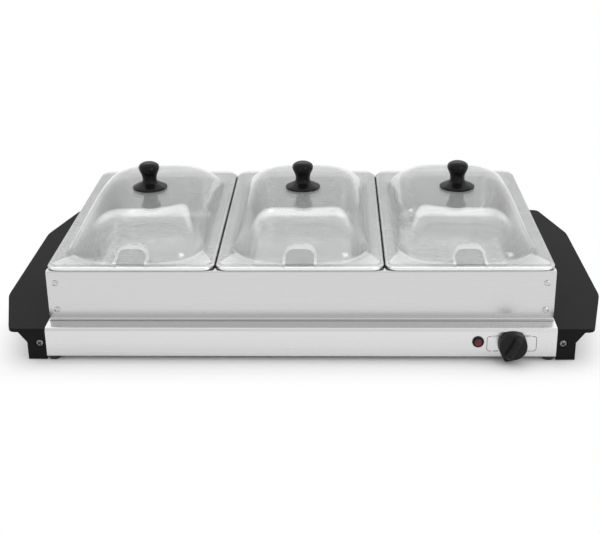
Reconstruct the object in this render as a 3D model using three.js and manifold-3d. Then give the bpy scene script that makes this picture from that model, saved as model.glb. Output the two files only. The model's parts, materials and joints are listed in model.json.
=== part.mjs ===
// Electric buffet server: a warming base, a lift-off frame, three pans and three clear lids.
// Millimetres. X runs along the server, Y from its front to its back, Z up from the table.
import * as THREE from "three";
import { mergeVertices } from "three/addons/utils/BufferGeometryUtils.js";
import Module from "manifold-3d";

const wasm = await Module();
wasm.setup();

// Fits, shared by every piece
const sheet = 0.8; // thickness of each stainless sheet
const seatGap = 0.3; // left between a piece and what it rests on
const holeGap = 0.35; // left round a shank in its hole
const overrun = 2; // how far a cut runs past what it cuts
const facetSink = 0.5; // how far a joined shape reaches into the one that carries it

// Pans, which set the length and depth of everything below them
const panCount = 3;
const panWidth = 171;
const panDepth = 318;
const panGap = 1.2; // between the rims of two neighbours
const panCorner = 13;
const rimFlange = 14; // flat width between the rolled edge and the opening
const rimHeight = 3.6; // of the rolled edge
const rimRoll = 3.4; // width of the rolled edge
const openingCorner = 37;
const wallLean = 9; // how far a wall leans inwards on its way down
const panMouthFillet = 4;
const panFloorFillet = 12;
const panAirGap = 6; // between a pan and the warming plate

// Frame
const rimOverhang = 1; // the pans' rims stand out this far at the front and back
const frameSideMargin = 0.3; // and the frame this far past the outer pans' rims
const frameHeight = 53.4;
const frameFlange = 8; // turned in along the top of each panel
const frameFoot = 3; // turned out along the bottom of the front and back panels
const frameFold = 1.5; // fold radius at the middle of the sheet
const frameTab = 16; // end tabs of the side panels, riveted behind the front and back ones
const rivetInset = 8.5;
const rivetDrop = 13; // upper rivets, below the frame's top
const rivetRise = 11; // lower rivets, above its bottom
const rivetShank = 1.6;
const rivetHead = 3.1;
const rivetHeadHeight = 1.1;
const rivetTail = 2.5;
const rivetTailLength = 1.6;

// Warming base
const footHeight = 5;
const baseHeight = 30.8; // from the lower edge to the warming plate
const ledgeDepth = 21.5; // warming plate in front of the frame and behind it
const endMargin = 1; // and at each end
const ledgeFold = 4;
const baseFlange = 16; // turned in under the base
const plateauRise = 1.5; // the raised middle of the warming plate locates the frame
const plateauInset = 4.5; // from the inside of the frame
const plateauCorner = 12;
const tabLength = 14; // tabs that the handles are screwed to
const tabHeight = 14;
const tabGap = 0.4;

// Bottom cover
const coverInset = 8;
const coverClearance = 2; // round each foot
const ventCount = 6; // in each row
const ventLength = 30;
const ventWidth = 4;
const ventPitch = 46;
const ventRow = 60; // from the middle to each row
const coverScrewEndInset = 79; // from the base's ends
const coverScrewSideInset = 12; // from its front and back

// Feet
const footLength = 12;
const footWidth = 18;
const footTaper = 1.2;
const footCorner = 3;
const footInset = 0.5;
const footStem = 2.5;
const footBarb = 3.6;
const footBarbHeight = 1.6;

// Handles
const wingReach = 59; // from the base's end to the outer edge
const wingShoulder = 37; // the same, along the front and back edges
const wingRake = 85; // length along Y of the raked edges
const wingThickness = 4;
const wingDrop = 0.6; // below the warming plate
const wingCorner = 7;
const handleInset = 0.5; // behind the base's front
const legWidth = 19;
const legDepth = 30;
const legWall = 3;
const legClear = 1; // between a leg and the table
const legFlareRise = 20; // height at which a leg starts to flare
const legFlare = 9;
const screwFromEnd = 6.6; // handle screws, from the base's end
const screwRise = 19;
const counterbore = 4.6;
const counterboreDepth = 1.1;

// Screws
const screwShank = 1.7;
const screwHead = 3.5;
const screwHeadHeight = 1.5;
const screwLength = 9;
const crossLength = 3.8;
const crossWidth = 0.9;
const crossDepth = 0.9;

// Lids
const lidWall = 2.2;
const lidInset = 2.8; // from the edge of the pan's rim
const lidCorner = 11;
const domeCorner = 37;
const domeSideStep = 0.2; // from the edge of the pan's opening in to the foot of the dome
const domeEndStep = 6.5; // the same, at the front and back
const crownHeight = 30;
const beadDrop = 2.2; // ridge under the lid that keeps it in the pan's opening
const beadGap = 0.8; // between that ridge and the pan
const crownPowerShares = { side: 2.5, end: 4 };
const crownRootShares = { side: 0.715, end: 0.54 };
const domeRingShares = [0.1, 0.46, 0.68, 0.83, 0.93, 0.98, 1];
const domeLongExtras = 2; // points along each long side of a dome, between its corners
const domeShortExtras = 1;

// Spoon notch in the front of each lid
const notchWidth = 29;
const notchHeight = 9.2; // above the lid's flat edge
const notchCorner = 8;
const notchBorder = 3;
const notchBorderRise = 1;
const notchReach = 12; // how far the notch cuts in past the foot of the dome

// Lid knobs
const knobDisk = 19.5;
const knobDiskEdge = 1.8;
const knobNeck = 7.8;
const knobHead = 11.6;
const knobHeight = 30;
const knobNeckShares = [0.2, 0.33, 0.47]; // heights where the neck starts, is slimmest and ends
const knobHeadShares = [0.76, 0.92]; // heights where the head is widest and starts to close
const knobCrownShare = 0.55; // of the head's radius, at the flat of its top
const lidScrewLength = 14;
const lidScrewHead = 4.2;
const lidScrewHeadHeight = 1.8;

// Thermostat and its knob
const dialInset = 44.6; // from the base's right end
const dialRise = 14.2; // above the base's lower edge
const dialAngle = 27; // degrees that the pointer stands clockwise of straight down, at OFF
const dialRadius = 14.6;
const dialTip = 18; // shaft to the end of the pointer
const dialTipRadius = 2.6;
const dialDepth = 16;
const dialSkirt = 9.5; // depth of the round skirt, behind the grip
const dialGripWidth = 9;
const dialGap = 1.2;
const dialHollow = 9;
const dialHollowDepth = 4.6;
const dialTaperShare = 0.93;
const shaftRadius = 3;
const shaftInDial = 7.5;
const shaftInBody = 8;
const bushRadius = 4.8;
const bushOut = 3.4; // in front of the panel
const nutRadius = 7.4;
const nutThickness = 2.2;
const thermostatWidth = 34;
const thermostatDepth = 24;
const thermostatClear = 2.4;
const bladeWidth = 6;
const bladeThickness = 1.2;
const bladeLength = 8;
const bladeOut = 9; // from the shaft's axis to each terminal

// Indicator lamp
const lampSpacing = 34.4; // from the dial
const lampRise = 16.4;
const bezelRadius = 6;
const bezelThickness = 1.4;
const lampBarrel = 4.7;
const lampDepth = 15;
const lensRadius = 4;
const lensStem = 3.2;
const lensDome = 2;
const lensStemLength = 7;

// Heating element, under the warming plate
const elementRadius = 3.2;
const elementRuns = 4;
const elementEndInset = 62; // base end to the outside of the bends
const elementSideInset = 70; // base front or back to the outer runs
const elementRodInset = 98.5; // base's right end to the ends of the rod
const pinRadius = 1.5;
const pinLength = 12;
const clipWidth = 12;
const clipInset = 10.5; // outer clips, from the ends of the runs
const clipFoot = 10;
const clipOver = 10; // past the outer runs

// Mains entry
const glandRise = 14; // above the base's lower edge
const glandRadius = 9;
const glandLip = 3;
const glandBarrel = 6.2;
const glandBore = 3.8;
const glandInnerLip = 8;
const glandInnerLength = 7;
const blockLength = 36;
const blockWidth = 18;
const blockHeight = 13;
const blockBack = 40; // from the base's back
const blockStud = 2.4;
const wayRadius = 2;
const wayDepth = 5;
const wayPitch = 11;
const leadRadius = 1.4;
const leadStub = 6; // straight length at each end of a lead
const leadBend = 8;
const leadSpread = 5; // between leads that run side by side

// Facets
const foldSteps = 3;
const cornerSteps = 4;
const smallSteps = 2;
const roundSides = 12;
const fineSides = 20;
const tubeSides = 6;
const elementSides = 8;
const bendSteps = 6;

// Levels and edges that follow from the sizes
const panPitch = panWidth + panGap;
const frameHalf = (panCount * panPitch - panGap) / 2 + frameSideMargin;
const frameDeep = panDepth / 2 - rimOverhang;
const baseHalf = frameHalf + endMargin;
const baseDeep = frameDeep + ledgeDepth;
const baseTop = footHeight + baseHeight;
const plateauTop = baseTop + plateauRise;
const plateauHalf = frameHalf - sheet - plateauInset;
const plateauDeep = frameDeep - sheet - plateauInset;
const frameBottom = baseTop + seatGap;
const frameTop = frameBottom + frameHeight;
const rimBottom = frameTop + seatGap;
const rimTop = rimBottom + rimHeight;
const panBottom = plateauTop + panAirGap;
const lidSeat = rimTop + seatGap;
const lidFlat = lidSeat + lidWall;
const crownTop = lidFlat + crownHeight;
const coverTop = footHeight - seatGap;
const coverBottom = coverTop - sheet;
const handleInner = baseHalf + seatGap;
const handleFront = baseDeep - handleInset;
const wingTop = baseTop - wingDrop;
const wingBottom = wingTop - wingThickness;
const dialX = baseHalf - dialInset;
const dialZ = footHeight + dialRise;
const lampX = dialX - lampSpacing;
const lampZ = footHeight + lampRise;
const glandZ = footHeight + glandRise;
const bodyFront = -baseDeep + sheet + seatGap;
const dialBack = -baseDeep - dialGap;
const dialFront = dialBack - dialDepth;
const glandEnd = baseDeep + seatGap + glandLip;
const elementTop = plateauTop - sheet - seatGap;
const elementZ = elementTop - elementRadius;

// Materials
const steel = new THREE.MeshStandardMaterial({ color: 0xc9cacb, roughness: 0.34, metalness: 0.95 });
const polished = new THREE.MeshStandardMaterial({ color: 0xd2d3d4, roughness: 0.16, metalness: 1 });
const plated = new THREE.MeshStandardMaterial({ color: 0xa9abad, roughness: 0.4, metalness: 0.9 });
const blackPlastic = new THREE.MeshStandardMaterial({ color: 0x1d1d1e, roughness: 0.55 });
const glossBlack = new THREE.MeshStandardMaterial({ color: 0x0b0b0c, roughness: 0.15 });
const rubber = new THREE.MeshStandardMaterial({ color: 0x141414, roughness: 0.85 });
const redLens = new THREE.MeshStandardMaterial({ color: 0x7c1d28, roughness: 0.2 });
const paleInsulation = new THREE.MeshStandardMaterial({ color: 0xd8d4c8, roughness: 0.6 });
const clearPlastic = new THREE.MeshStandardMaterial({
  color: 0xe8eaeb,
  roughness: 0.08,
  transparent: true,
  opacity: 0.3,
});

// Closed solids for joins and cuts
function solidOf(geometry) {
  const bare = geometry.clone();
  bare.deleteAttribute("normal");
  bare.deleteAttribute("uv");
  const merged = mergeVertices(bare, 1e-4);
  return new wasm.Manifold(
    new wasm.Mesh({
      numProp: 3,
      vertProperties: new Float32Array(merged.attributes.position.array),
      triVerts: new Uint32Array(merged.index.array),
    }),
  );
}

function geometryOf(solid) {
  const made = solid.getMesh();
  const geometry = new THREE.BufferGeometry();
  geometry.setAttribute("position", new THREE.BufferAttribute(made.vertProperties, 3));
  geometry.setIndex(new THREE.BufferAttribute(made.triVerts, 1));
  geometry.computeVertexNormals();
  return geometry;
}

function joined(first, ...others) {
  return geometryOf(others.reduce((sum, next) => sum.add(solidOf(next)), solidOf(first)));
}

function cut(first, ...others) {
  return geometryOf(others.reduce((rest, next) => rest.subtract(solidOf(next)), solidOf(first)));
}

// Boxes, prisms and turned pieces
function block(x0, x1, y0, y1, z0, z1) {
  const geometry = new THREE.BoxGeometry(x1 - x0, y1 - y0, z1 - z0);
  return geometry.translate((x0 + x1) / 2, (y0 + y1) / 2, (z0 + z1) / 2);
}

function extruded(shape, length) {
  return new THREE.ExtrudeGeometry(shape, { depth: length, bevelEnabled: false, curveSegments: foldSteps });
}

// A shape drawn in Y and Z, carried along X
function alongX(shape, x0, x1) {
  const turn = new THREE.Matrix4().set(0, 0, 1, x0, 1, 0, 0, 0, 0, 1, 0, 0, 0, 0, 0, 1);
  return extruded(shape, x1 - x0).applyMatrix4(turn);
}

// A shape drawn in X and Z, carried along Y
function alongY(shape, y0, y1) {
  const turn = new THREE.Matrix4().set(1, 0, 0, 0, 0, 0, -1, y1, 0, 1, 0, 0, 0, 0, 0, 1);
  return extruded(shape, y1 - y0).applyMatrix4(turn);
}

// A shape drawn in X and Y, carried up Z
function alongZ(shape, z0, z1) {
  return extruded(shape, z1 - z0).translate(0, 0, z0);
}

function outlineShape(points) {
  return new THREE.Shape(points.map(([u, v]) => new THREE.Vector2(u, v)));
}

// A profile of [radius, height] pairs turned round Z
function turned(profile, sides) {
  const points = profile.map(([radius, height]) => new THREE.Vector2(radius, height));
  return new THREE.LatheGeometry(points, sides).rotateX(Math.PI / 2);
}

// The same, turned round an axis that points to the front
function turnedToFront(profile, sides, x, y, z) {
  return turned(profile, sides).rotateX(Math.PI / 2).translate(x, y, z);
}

function turnedToBack(profile, sides, x, y, z) {
  return turned(profile, sides).rotateX(-Math.PI / 2).translate(x, y, z);
}

// A round cutter whose flats clear a shank of the radius given
function clearRadius(radius, sides) {
  return (radius + holeGap) / Math.cos(Math.PI / sides);
}

function drillZ(x, y, z0, z1, radius, sides) {
  const geometry = new THREE.CylinderGeometry(radius, radius, z1 - z0, sides);
  return geometry.rotateX(Math.PI / 2).translate(x, y, (z0 + z1) / 2);
}

function drillY(x, z, y0, y1, radius, sides) {
  const geometry = new THREE.CylinderGeometry(radius, radius, y1 - y0, sides);
  return geometry.translate(x, (y0 + y1) / 2, z);
}

// A closed skin over rings with equal numbers of points, with flat ends
function loft(rings) {
  const count = rings[0].length;
  const last = (rings.length - 1) * count;
  const index = [];
  for (let start = 0; start < last; start += count) {
    for (let i = 0; i < count; i += 1) {
      const a = start + i;
      const b = start + ((i + 1) % count);
      index.push(a, b, b + count, a, b + count, a + count);
    }
  }
  for (let i = 1; i < count - 1; i += 1) {
    index.push(0, i + 1, i);
    index.push(last, last + i, last + i + 1);
  }
  const geometry = new THREE.BufferGeometry();
  geometry.setAttribute("position", new THREE.Float32BufferAttribute(rings.flat(2), 3));
  geometry.setIndex(index);
  geometry.computeVertexNormals();
  return geometry;
}

// A rounded rectangle as [x, y] points, anticlockwise, with extra points along its long and short sides
function roundedRectangle(halfX, halfY, radius, steps = cornerSteps, longExtras = 0, shortExtras = 0) {
  const points = [];
  const corners = [
    [halfX - radius, halfY - radius],
    [radius - halfX, halfY - radius],
    [radius - halfX, radius - halfY],
    [halfX - radius, radius - halfY],
  ];
  corners.forEach(([x, y], quarter) => {
    for (let step = 0; step <= steps; step += 1) {
      const angle = ((quarter + step / steps) * Math.PI) / 2;
      points.push([x + radius * Math.cos(angle), y + radius * Math.sin(angle)]);
    }
    const extras = quarter % 2 === 0 ? shortExtras : longExtras;
    const from = points[points.length - 1];
    const next = corners[(quarter + 1) % 4];
    const arrive = ((quarter + 1) * Math.PI) / 2;
    const to = [next[0] + radius * Math.cos(arrive), next[1] + radius * Math.sin(arrive)];
    for (let step = 1; step <= extras; step += 1) {
      const share = step / (extras + 1);
      points.push([from[0] + (to[0] - from[0]) * share, from[1] + (to[1] - from[1]) * share]);
    }
  });
  return points;
}

function ringAt(halfX, halfY, radius, z, steps = cornerSteps) {
  return roundedRectangle(halfX, halfY, radius, steps).map(([x, y]) => [x, y, z]);
}

// The outline of a folded sheet whose middle line runs through the corners given
function foldedShape(corners, foldRadius) {
  const along = corners.map((corner) => new THREE.Vector2(...corner));
  const samples = [];
  along.forEach((corner, i) => {
    const before = i > 0 ? corner.clone().sub(along[i - 1]).normalize() : null;
    const after = i < along.length - 1 ? along[i + 1].clone().sub(corner).normalize() : null;
    if (!before || !after) {
      const way = before || after;
      samples.push({ at: corner.clone(), left: new THREE.Vector2(-way.y, way.x) });
      return;
    }
    const bend = Math.atan2(before.cross(after), before.dot(after));
    const run = foldRadius * Math.tan(Math.abs(bend) / 2);
    const start = corner.clone().addScaledVector(before, -run);
    const left = new THREE.Vector2(-before.y, before.x);
    const side = Math.sign(bend) * foldRadius;
    const centre = start.clone().addScaledVector(left, side);
    for (let step = 0; step <= foldSteps; step += 1) {
      const turnedLeft = left.clone().rotateAround(new THREE.Vector2(0, 0), (bend * step) / foldSteps);
      samples.push({ at: centre.clone().addScaledVector(turnedLeft, -side), left: turnedLeft });
    }
  });
  const near = samples.map(({ at, left }) => at.clone().addScaledVector(left, sheet / 2));
  const far = samples.map(({ at, left }) => at.clone().addScaledVector(left, -sheet / 2));
  return new THREE.Shape([...far, ...near.reverse()]);
}

// A round tube along points, kept the same way up; radii may differ from point to point
function tube(points, radii, sides) {
  const path = points.map((point) => new THREE.Vector3(...point));
  const ways = path.map((point, i) => {
    const way = new THREE.Vector3();
    if (i > 0) way.add(point.clone().sub(path[i - 1]).normalize());
    if (i < path.length - 1) way.add(path[i + 1].clone().sub(point).normalize());
    return way.lengthSq() > 0 ? way.normalize() : null;
  });
  let side = new THREE.Vector3(0, 0, 1);
  if (Math.abs(ways[0].dot(side)) > Math.SQRT1_2) side = new THREE.Vector3(1, 0, 0);
  const rings = path.map((point, i) => {
    const way = ways[i];
    side = side.clone().addScaledVector(way, -side.dot(way)).normalize();
    const across = way.clone().cross(side);
    const radius = Array.isArray(radii) ? radii[i] : radii;
    return Array.from({ length: sides }, (unused, k) => {
      const angle = (2 * Math.PI * k) / sides;
      const place = point.clone().addScaledVector(side, radius * Math.cos(angle));
      return place.addScaledVector(across, radius * Math.sin(angle)).toArray();
    });
  });
  return loft(rings);
}

// A polyline whose corners are rounded with arcs of the radius given
function roundedPath(corners, radius, steps) {
  const path = corners.map((corner) => new THREE.Vector3(...corner));
  const made = [path[0].toArray()];
  for (let i = 1; i < path.length - 1; i += 1) {
    const back = path[i - 1].clone().sub(path[i]);
    const on = path[i + 1].clone().sub(path[i]);
    const room = Math.min(radius, back.length() / 2, on.length() / 2);
    const start = path[i].clone().addScaledVector(back.normalize(), room);
    const end = path[i].clone().addScaledVector(on.normalize(), room);
    const curve = new THREE.QuadraticBezierCurve3(start, path[i], end);
    curve.getPoints(steps).forEach((point) => made.push(point.toArray()));
  }
  made.push(path[path.length - 1].toArray());
  return made;
}

// The assembly
const server = new THREE.Group();
server.position.y = -(dialFront + glandEnd) / 2;

function place(name, geometry, material, parent = server) {
  const mesh = new THREE.Mesh(geometry, material);
  mesh.name = name;
  parent.add(mesh);
  return mesh;
}

const ends = [
  { word: "left", sign: -1 },
  { word: "right", sign: 1 },
];
const sides = [
  { word: "front", sign: -1 },
  { word: "back", sign: 1 },
];
const pans = ["left", "middle", "right"].slice(0, panCount).map((word, i) => ({
  word,
  x: (i - (panCount - 1) / 2) * panPitch,
}));

const footX = baseHalf - footInset - footLength / 2;
const footY = baseDeep - footInset - footWidth / 2;
const coverScrewX = baseHalf - coverScrewEndInset;
const coverScrewY = baseDeep - coverScrewSideInset;
const tabInnerY = handleFront - legWall - tabGap;

// Warming base: one folded sheet, open below inside its turned-in flange
function baseSection(inset) {
  const shape = new THREE.Shape();
  const deep = baseDeep - inset;
  const radius = ledgeFold - inset;
  shape.moveTo(-deep, footHeight + inset);
  shape.lineTo(deep, footHeight + inset);
  shape.lineTo(deep, baseTop - ledgeFold);
  shape.absarc(baseDeep - ledgeFold, baseTop - ledgeFold, radius, 0, Math.PI / 2);
  shape.absarc(ledgeFold - baseDeep, baseTop - ledgeFold, radius, Math.PI / 2, Math.PI);
  return shape;
}

function plateau(inset, z0, z1) {
  const outline = roundedRectangle(plateauHalf - inset, plateauDeep - inset, plateauCorner - inset);
  return alongZ(outlineShape(outline), z0, z1);
}

function handleTabs() {
  return ends.flatMap((end) =>
    sides.map((side) => {
      const x = [end.sign * (baseHalf - sheet / 2), end.sign * (baseHalf + tabLength)].sort((a, b) => a - b);
      const y = [side.sign * tabInnerY, side.sign * (tabInnerY - sheet)].sort((a, b) => a - b);
      return block(...x, ...y, screwRise - tabHeight / 2, screwRise + tabHeight / 2);
    }),
  );
}

function baseHoles() {
  const holes = [];
  const skirt = [-baseDeep - overrun, -baseDeep + sheet + overrun];
  holes.push(drillY(dialX, dialZ, ...skirt, clearRadius(bushRadius, roundSides), roundSides));
  holes.push(drillY(lampX, lampZ, ...skirt, clearRadius(lampBarrel, roundSides), roundSides));
  const back = [baseDeep - sheet - overrun, baseDeep + overrun];
  holes.push(drillY(dialX, glandZ, ...back, clearRadius(glandBarrel, roundSides), roundSides));
  const flange = [footHeight - overrun, footHeight + sheet + overrun];
  for (const end of ends) {
    for (const side of sides) {
      const stem = clearRadius(footStem, elementSides);
      holes.push(drillZ(end.sign * footX, side.sign * footY, ...flange, stem, elementSides));
      const shank = clearRadius(screwShank, elementSides);
      holes.push(drillZ(end.sign * coverScrewX, side.sign * coverScrewY, ...flange, shank, elementSides));
      const tab = [side.sign * tabInnerY - overrun, side.sign * tabInnerY + overrun];
      holes.push(drillY(end.sign * (baseHalf + screwFromEnd), screwRise, ...tab, shank, elementSides));
    }
  }
  return holes;
}

function baseShell() {
  const half = baseHalf - sheet;
  const skin = alongX(baseSection(0), -baseHalf, baseHalf);
  const raised = plateau(0, baseTop - sheet, plateauTop);
  const pocket = plateau(sheet, baseTop - sheet - overrun, plateauTop - sheet);
  const hollow = alongX(baseSection(sheet), -half, half);
  const hatchHalf = baseHalf - baseFlange;
  const hatchDeep = baseDeep - baseFlange;
  const hatchTop = footHeight + sheet + overrun;
  const hatch = block(-hatchHalf, hatchHalf, -hatchDeep, hatchDeep, footHeight - overrun, hatchTop);
  const shell = cut(joined(skin, raised), hollow, pocket, hatch);
  return cut(joined(shell, ...handleTabs()), ...baseHoles());
}

// Bottom cover: a vented plate under the flange, notched round the feet
function bottomCover() {
  const half = baseHalf - coverInset;
  const deep = baseDeep - coverInset;
  const stepX = footX - footLength / 2 - coverClearance;
  const stepY = footY - footWidth / 2 - coverClearance;
  const quarter = [
    [half, stepY],
    [stepX, stepY],
    [stepX, deep],
  ];
  const outline = [
    ...quarter,
    ...quarter.map(([x, y]) => [-x, y]).reverse(),
    ...quarter.map(([x, y]) => [-x, -y]),
    ...quarter.map(([x, y]) => [x, -y]).reverse(),
  ];
  const cutters = [];
  const z = [coverBottom - overrun, coverTop + overrun];
  for (const row of sides) {
    for (let i = 0; i < ventCount; i += 1) {
      const x = (i - (ventCount - 1) / 2) * ventPitch;
      const y = row.sign * ventRow;
      const slot = roundedRectangle(ventLength / 2, ventWidth / 2, ventWidth / 2, smallSteps);
      cutters.push(alongZ(outlineShape(slot), ...z).translate(x, y, 0));
    }
    for (const end of ends) {
      const shank = clearRadius(screwShank, elementSides);
      cutters.push(drillZ(end.sign * coverScrewX, row.sign * coverScrewY, ...z, shank, elementSides));
    }
  }
  const stud = clearRadius(blockStud, elementSides);
  cutters.push(drillZ(dialX, baseDeep - blockBack, ...z, stud, elementSides));
  return cut(alongZ(outlineShape(outline), coverBottom, coverTop), ...cutters);
}

// A cross-head screw along +Z whose head sits below z = 0
function crossScrew(length, head, headHeight, shank) {
  const profile = [
    [0, -headHeight],
    [head - headHeight / 3, -headHeight],
    [head, 0],
    [shank, 0],
    [shank, length],
    [0, length],
  ];
  const cross = [crossLength / 2, crossWidth / 2];
  const z = [-headHeight - overrun, crossDepth - headHeight];
  const one = block(-cross[0], cross[0], -cross[1], cross[1], ...z);
  const other = block(-cross[1], cross[1], -cross[0], cross[0], ...z);
  return cut(turned(profile, elementSides), joined(one, other));
}

// Rubber foot, pushed through the flange
function rubberFoot() {
  const half = [footLength / 2, footWidth / 2];
  const top = footHeight - seatGap;
  const pad = loft([
    ringAt(half[0] - footTaper, half[1] - footTaper, footCorner, 0, smallSteps),
    ringAt(half[0], half[1], footCorner, top - footTaper / 2, smallSteps),
    ringAt(half[0], half[1], footCorner, top, smallSteps),
  ]);
  const barbFoot = footHeight + sheet + seatGap;
  const stem = turned(
    [
      [0, top - facetSink],
      [footStem, top - facetSink],
      [footStem, barbFoot],
      [footBarb, barbFoot],
      [footStem, barbFoot + footBarbHeight],
      [0, barbFoot + footBarbHeight],
    ],
    elementSides,
  );
  return joined(pad, stem);
}

// Handle at the right end: a wing on two hollow legs, with a web along the base's end
function wingOutline() {
  const half = handleFront;
  const corners = [
    [handleInner, -half],
    [baseHalf + wingShoulder, -half],
    [baseHalf + wingReach, wingRake - half],
    [baseHalf + wingReach, half - wingRake],
    [baseHalf + wingShoulder, half],
    [handleInner, half],
  ];
  const flat = corners.map(([x, y]) => [x, y, 0]);
  const rounded = roundedPath(flat, wingCorner, cornerSteps);
  return outlineShape(rounded.map(([x, y]) => [x, y]));
}

function legShape(inset) {
  const outer = handleInner + legWidth - inset;
  const inner = inset > 0 ? handleInner - overrun : handleInner;
  const top = inset > 0 ? wingBottom : wingBottom + facetSink;
  return outlineShape([
    [inner, legClear + inset],
    [outer, legClear + inset],
    [outer, legFlareRise],
    [outer + legFlare, top],
    [inner, top],
  ]);
}

function handle() {
  const wing = alongZ(wingOutline(), wingBottom, wingTop);
  const legBack = handleFront - legDepth;
  const webDeep = legBack + facetSink;
  const webZ = [legClear + legWall, wingBottom + facetSink];
  const web = block(handleInner, handleInner + legWall, -webDeep, webDeep, ...webZ);
  const legs = [
    alongY(legShape(0), -handleFront, -legBack),
    alongY(legShape(0), legBack, handleFront),
  ];
  const hollows = [
    alongY(legShape(legWall), legWall - handleFront, -legBack - legWall),
    alongY(legShape(legWall), legBack + legWall, handleFront - legWall),
  ];
  const x = baseHalf + screwFromEnd;
  const shank = clearRadius(screwShank, elementSides);
  const seat = handleFront - counterboreDepth;
  const bores = [
    drillY(x, screwRise, -handleFront - overrun, legWall - handleFront + overrun, shank, elementSides),
    drillY(x, screwRise, handleFront - legWall - overrun, handleFront + overrun, shank, elementSides),
    drillY(x, screwRise, -handleFront - overrun, -seat, counterbore, roundSides),
    drillY(x, screwRise, seat, handleFront + overrun, counterbore, roundSides),
  ];
  return cut(joined(wing, web, ...legs), ...hollows, ...bores);
}

// Thermostat: body, bush and terminals behind the panel
const cavityRoom = Math.min(dialRise - sheet, baseHeight - dialRise - sheet) - thermostatClear;
const bodyBack = bodyFront + thermostatDepth;

function thermostatBody() {
  const half = thermostatWidth / 2;
  const body = block(dialX - half, dialX + half, bodyFront, bodyBack, dialZ - cavityRoom, dialZ + cavityRoom);
  const bush = drillY(dialX, dialZ, -baseDeep - bushOut, bodyFront + facetSink, bushRadius, roundSides);
  const blades = ends.map((end) => {
    const x = dialX + end.sign * bladeOut;
    const y = [bodyBack - facetSink, bodyBack + bladeLength];
    const z = [dialZ - bladeThickness / 2, dialZ + bladeThickness / 2];
    return block(x - bladeWidth / 2, x + bladeWidth / 2, ...y, ...z);
  });
  const boreEnd = bodyFront + shaftInBody + seatGap;
  const boreRadius = clearRadius(shaftRadius, roundSides);
  const bore = drillY(dialX, dialZ, -baseDeep - bushOut - overrun, boreEnd, boreRadius, roundSides);
  return cut(joined(body, bush, ...blades), bore);
}

function thermostatNut() {
  const y = [-baseDeep - seatGap - nutThickness, -baseDeep - seatGap];
  const outer = drillY(dialX, dialZ, ...y, nutRadius, tubeSides);
  const boreRadius = clearRadius(bushRadius, roundSides);
  const bore = drillY(dialX, dialZ, y[0] - overrun, y[1] + overrun, boreRadius, roundSides);
  return cut(outer, bore);
}

function thermostatShaft() {
  const y = [dialBack - dialHollowDepth - shaftInDial, bodyFront + shaftInBody];
  return drillY(dialX, dialZ, ...y, shaftRadius, roundSides);
}

// Control knob: a drop-shaped skirt with a grip bar along its pointer
function dropOutline(share) {
  const reach = (dialTip - dialTipRadius) * share;
  const round = dialRadius * share;
  const tip = dialTipRadius * share;
  const lean = Math.asin((round - tip) / reach);
  const points = [];
  for (let step = 0; step <= 2 * cornerSteps; step += 1) {
    const angle = -lean + ((Math.PI + 2 * lean) * step) / (2 * cornerSteps);
    points.push([round * Math.cos(angle), round * Math.sin(angle)]);
  }
  for (let step = 0; step <= foldSteps; step += 1) {
    const angle = Math.PI + lean + ((Math.PI - 2 * lean) * step) / foldSteps;
    points.push([tip * Math.cos(angle), tip * Math.sin(angle) - reach]);
  }
  return points;
}

function controlKnob() {
  const ring = (share, y) => dropOutline(share).map(([x, z]) => [x, y, z]);
  const edge = dialTipRadius / 2;
  const skirtFront = dialBack - dialSkirt;
  const skirt = loft([
    ring(1, dialBack),
    ring(1 - (1 - dialTaperShare) / 2, skirtFront + edge),
    ring(dialTaperShare - edge / dialRadius, skirtFront),
  ]);
  const grip = alongY(
    outlineShape(roundedRectangle(dialGripWidth / 2, dialRadius, dialGripWidth / 3, smallSteps)),
    dialFront,
    skirtFront + facetSink,
  );
  const hollow = drillY(0, 0, dialBack - dialHollowDepth, dialBack + overrun, dialHollow, fineSides);
  const boreEnd = dialBack - dialHollowDepth - shaftInDial - seatGap;
  const bore = drillY(0, 0, boreEnd, dialBack, clearRadius(shaftRadius, roundSides), roundSides);
  const knob = cut(joined(skirt, grip), hollow, bore);
  return knob.rotateY((dialAngle * Math.PI) / 180).translate(dialX, 0, dialZ);
}

// Indicator lamp
function lampHolder() {
  const bore = lensStem + holeGap;
  const face = seatGap + bezelThickness;
  const profile = [
    [0, -lampDepth],
    [lampBarrel, -lampDepth],
    [lampBarrel, seatGap],
    [bezelRadius, seatGap],
    [bezelRadius, face - bezelThickness / 2],
    [bezelRadius - bezelThickness / 2, face],
    [bore, face],
    [bore, face - lensStemLength - seatGap],
    [0, face - lensStemLength - seatGap],
  ];
  return turnedToFront(profile, roundSides, lampX, -baseDeep, lampZ);
}

function lampLens() {
  const face = seatGap + bezelThickness + seatGap;
  const profile = [
    [0, face - lensStemLength],
    [lensStem, face - lensStemLength],
    [lensStem, face],
    [lensRadius, face],
    [lensRadius, face + lensDome / 3],
    [lensRadius / 2, face + lensDome],
    [0, face + lensDome],
  ];
  return turnedToFront(profile, roundSides, lampX, -baseDeep, lampZ);
}

// Heating element: one rod that runs to and fro under the plate, with a pin at each end
const runDeep = baseDeep - elementSideInset;
const runPitch = (2 * runDeep) / (elementRuns - 1);
const bendRadius = runPitch / 2;
const runHalf = baseHalf - elementEndInset - bendRadius;
const rodEnd = baseHalf - elementRodInset;
const elementEnd = rodEnd + pinLength;

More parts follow.
